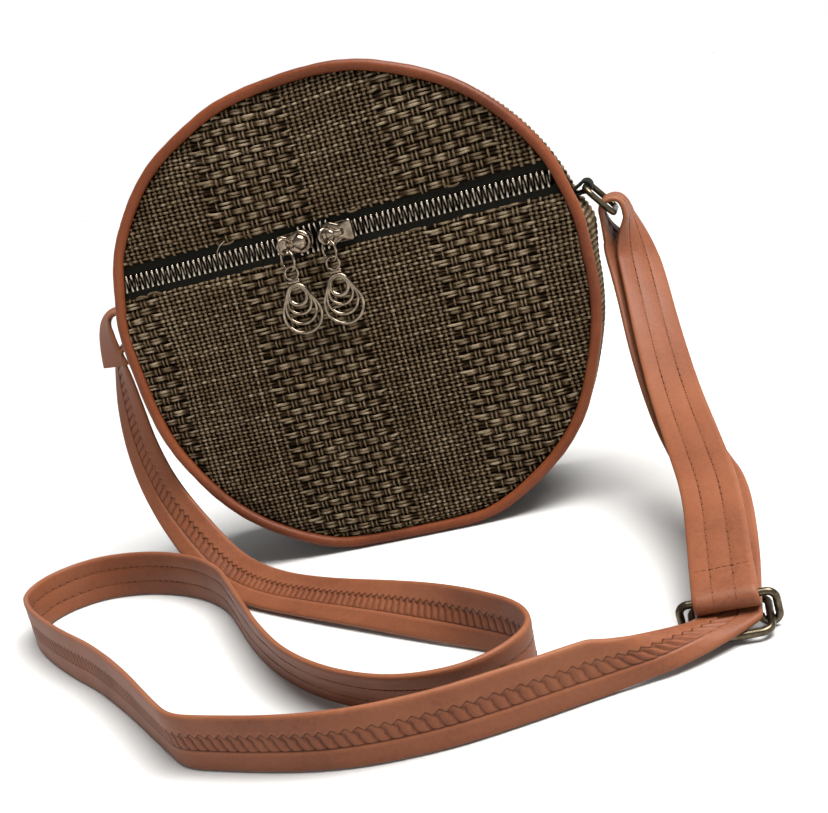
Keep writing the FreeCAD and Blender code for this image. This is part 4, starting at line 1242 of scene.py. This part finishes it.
def stitched_shape(route, inner, first, plain, slant=0):
    """A strap's leather and stitches. inner is 1 or -1: the face that shows the zigzag.

    plain is the length without stitches at the last end, and slant is how far
    that end is cut back at one edge."""
    shape = Shape()
    length = np.linspace(0, route.length, int(route.length / ZIGZAG_PITCH * 7) + 1)
    flat = np.ones_like(length)
    columns = strap_section(length, route.length - PLAIN_END)
    ripple = 0.05 * np.sin(length / 11) + 0.04 * np.sin(length / 4.3 + 1)
    cut = smooth_step(length, route.length - 14, route.length)
    rows = []
    for across, high, tone in columns:
        across = across * flat
        run = length - slant * cut * (0.5 - across / (2 * STRAP_HALF))
        rows.append(route.place(run, across, inner * (high * flat + ripple * (np.abs(across) < 7))))
    rows = np.swapaxes(rows, 0, 1)
    tones = np.array([tone * flat for across, high, tone in columns]).T
    sides = len(columns)
    shape.add(rows, grid(len(length), sides, False, True)[:, ::-inner], 0, tones.ravel())
    shape.add(rows[0], cap(0, sides)[:, ::inner])
    shape.add(rows[-1], cap(0, sides)[:, ::-inner])
    for place in STITCH_PLACES:
        stitch_row(shape, route, place, -inner, first, route.length - plain)
    return shape


STRAP_SKINS = [STRAP_LEATHER, THREAD, HOLE]
strap_route = Route(STRAP_POINTS, STRAP_SIDES, "strap_line", STRAP_ASLANT)
strap_shape = stitched_shape(strap_route, 1, 4, PLAIN_END, FLAP_SLANT)
strap = piece("stitched_strap", strap_shape, STRAP_SKINS, "shoulder_strap")

layer_route = Route(LAYER_POINTS, LAYER_SIDES, "layer_line")
layer_shape = stitched_shape(layer_route, -1, 2, 24)
for share in np.arange(0, 1, 0.125):
    across = END_SEAM_HALF * (2 * share - 1 + np.linspace(0.02, 0.2, 5))
    spots = layer_route.length - END_SEAM_BACK + 0.05 * across
    points = layer_route.place(spots, across, np.full(5, 1))
    tube(layer_shape, points, 0.13, 4, slot=2, flat=layer_route.at(spots[0])[2])
layer = piece("stitched_layer", layer_shape, STRAP_SKINS, "strap_adjusting_layer")
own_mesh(layer)


# Finishes of the metal nodes that are shown as built

for made, nodes in (
    (NICKEL, ("left_pull_eye", "left_link_ring", "right_pull_eye", "right_link_ring", "main_pull")),
    (BRASS, ("left_ring", "right_ring", "slide_buckle_frame", "slide_buckle_bar")),
):
    for node in nodes:
        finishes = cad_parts[node].data.materials
        finishes.clear()
        finishes.append(made)


# Stage, in metres

FLOOR_HALF = 6
FLOOR_DROP = 0.0002
CAMERA_TARGET = Vector((0.0062, 0, 0.0466))
CAMERA_DISTANCE = 0.62
CAMERA_AZIMUTH = radians(13.68)
CAMERA_ELEVATION = radians(11.71)
CAMERA_ROLL = radians(15.3)
FOCAL_PIXELS = 1461
IMAGE_WIDTH = 828
SENSOR = 36
KEY_PLACE = Vector((0.55, -0.25, 0.85))
KEY_AIM = Vector((0.08, -0.12, 0.05))
KEY_SIZE = 0.45
SUN_SPREAD = radians(45)
# A bright band round the horizon under a dim sky: height and shade
SKY_STOPS = [(0, (1,) * 3), (0.22, (1,) * 3), (0.42, (0.22,) * 3), (1, (0.3,) * 3)]

scene = bpy.context.scene
floor_shape = Shape()
floor_corners = np.array([(-1, -1, 0), (1, -1, 0), (1, 1, 0), (-1, 1, 0)]) * FLOOR_HALF / MM
floor_shape.add(floor_corners, [(0, 1, 2, 3)])
floor = floor_shape.make("floor", [FLOOR])
floor.location.z = -FLOOR_DROP
floor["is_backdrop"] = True

lens = bpy.data.cameras.new("camera")
lens.sensor_width = SENSOR
lens.lens = FOCAL_PIXELS * SENSOR / IMAGE_WIDTH
lens.clip_start = 0.01
lens.clip_end = 100
camera = bpy.data.objects.new("camera", lens)
turned = Matrix.Rotation(CAMERA_AZIMUTH, 3, "Z") @ Matrix.Rotation(pi / 2 - CAMERA_ELEVATION, 3, "X")
camera.matrix_world = (turned @ Matrix.Rotation(-CAMERA_ROLL, 3, "Z")).to_4x4()
camera.location = CAMERA_TARGET + turned.col[2] * CAMERA_DISTANCE
scene.collection.objects.link(camera)
scene.camera = camera


def light(name, kind, way, power, colour):
    data = bpy.data.lights.new(name, kind)
    data.energy = power
    data.color = colour
    item = bpy.data.objects.new(name, data)
    item.rotation_euler = way.to_track_quat("-Z", "Y").to_euler()
    scene.collection.objects.link(item)
    return item


key = light("key", "AREA", KEY_AIM - KEY_PLACE, 7, (1, 0.97, 0.93))
key.location = KEY_PLACE
key.data.size = KEY_SIZE
sun = light("overhead", "SUN", Vector((-0.32, 0.14, -0.94)), 5.6, (1, 0.985, 0.965))
sun.data.angle = SUN_SPREAD

world = bpy.data.worlds.new("studio")
world.use_nodes = True
sky = world.node_tree
height = add_node(sky, "SeparateXYZ", {0: add_node(sky, "TexCoord")["Generated"]})["Z"]
join(sky, sky.nodes["Background"], {"Color": colour_ramp(sky, height, SKY_STOPS), "Strength": 1})
scene.world = world
scene.view_settings.view_transform = "Standard"

bpy.context.view_layer.update()
low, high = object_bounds()
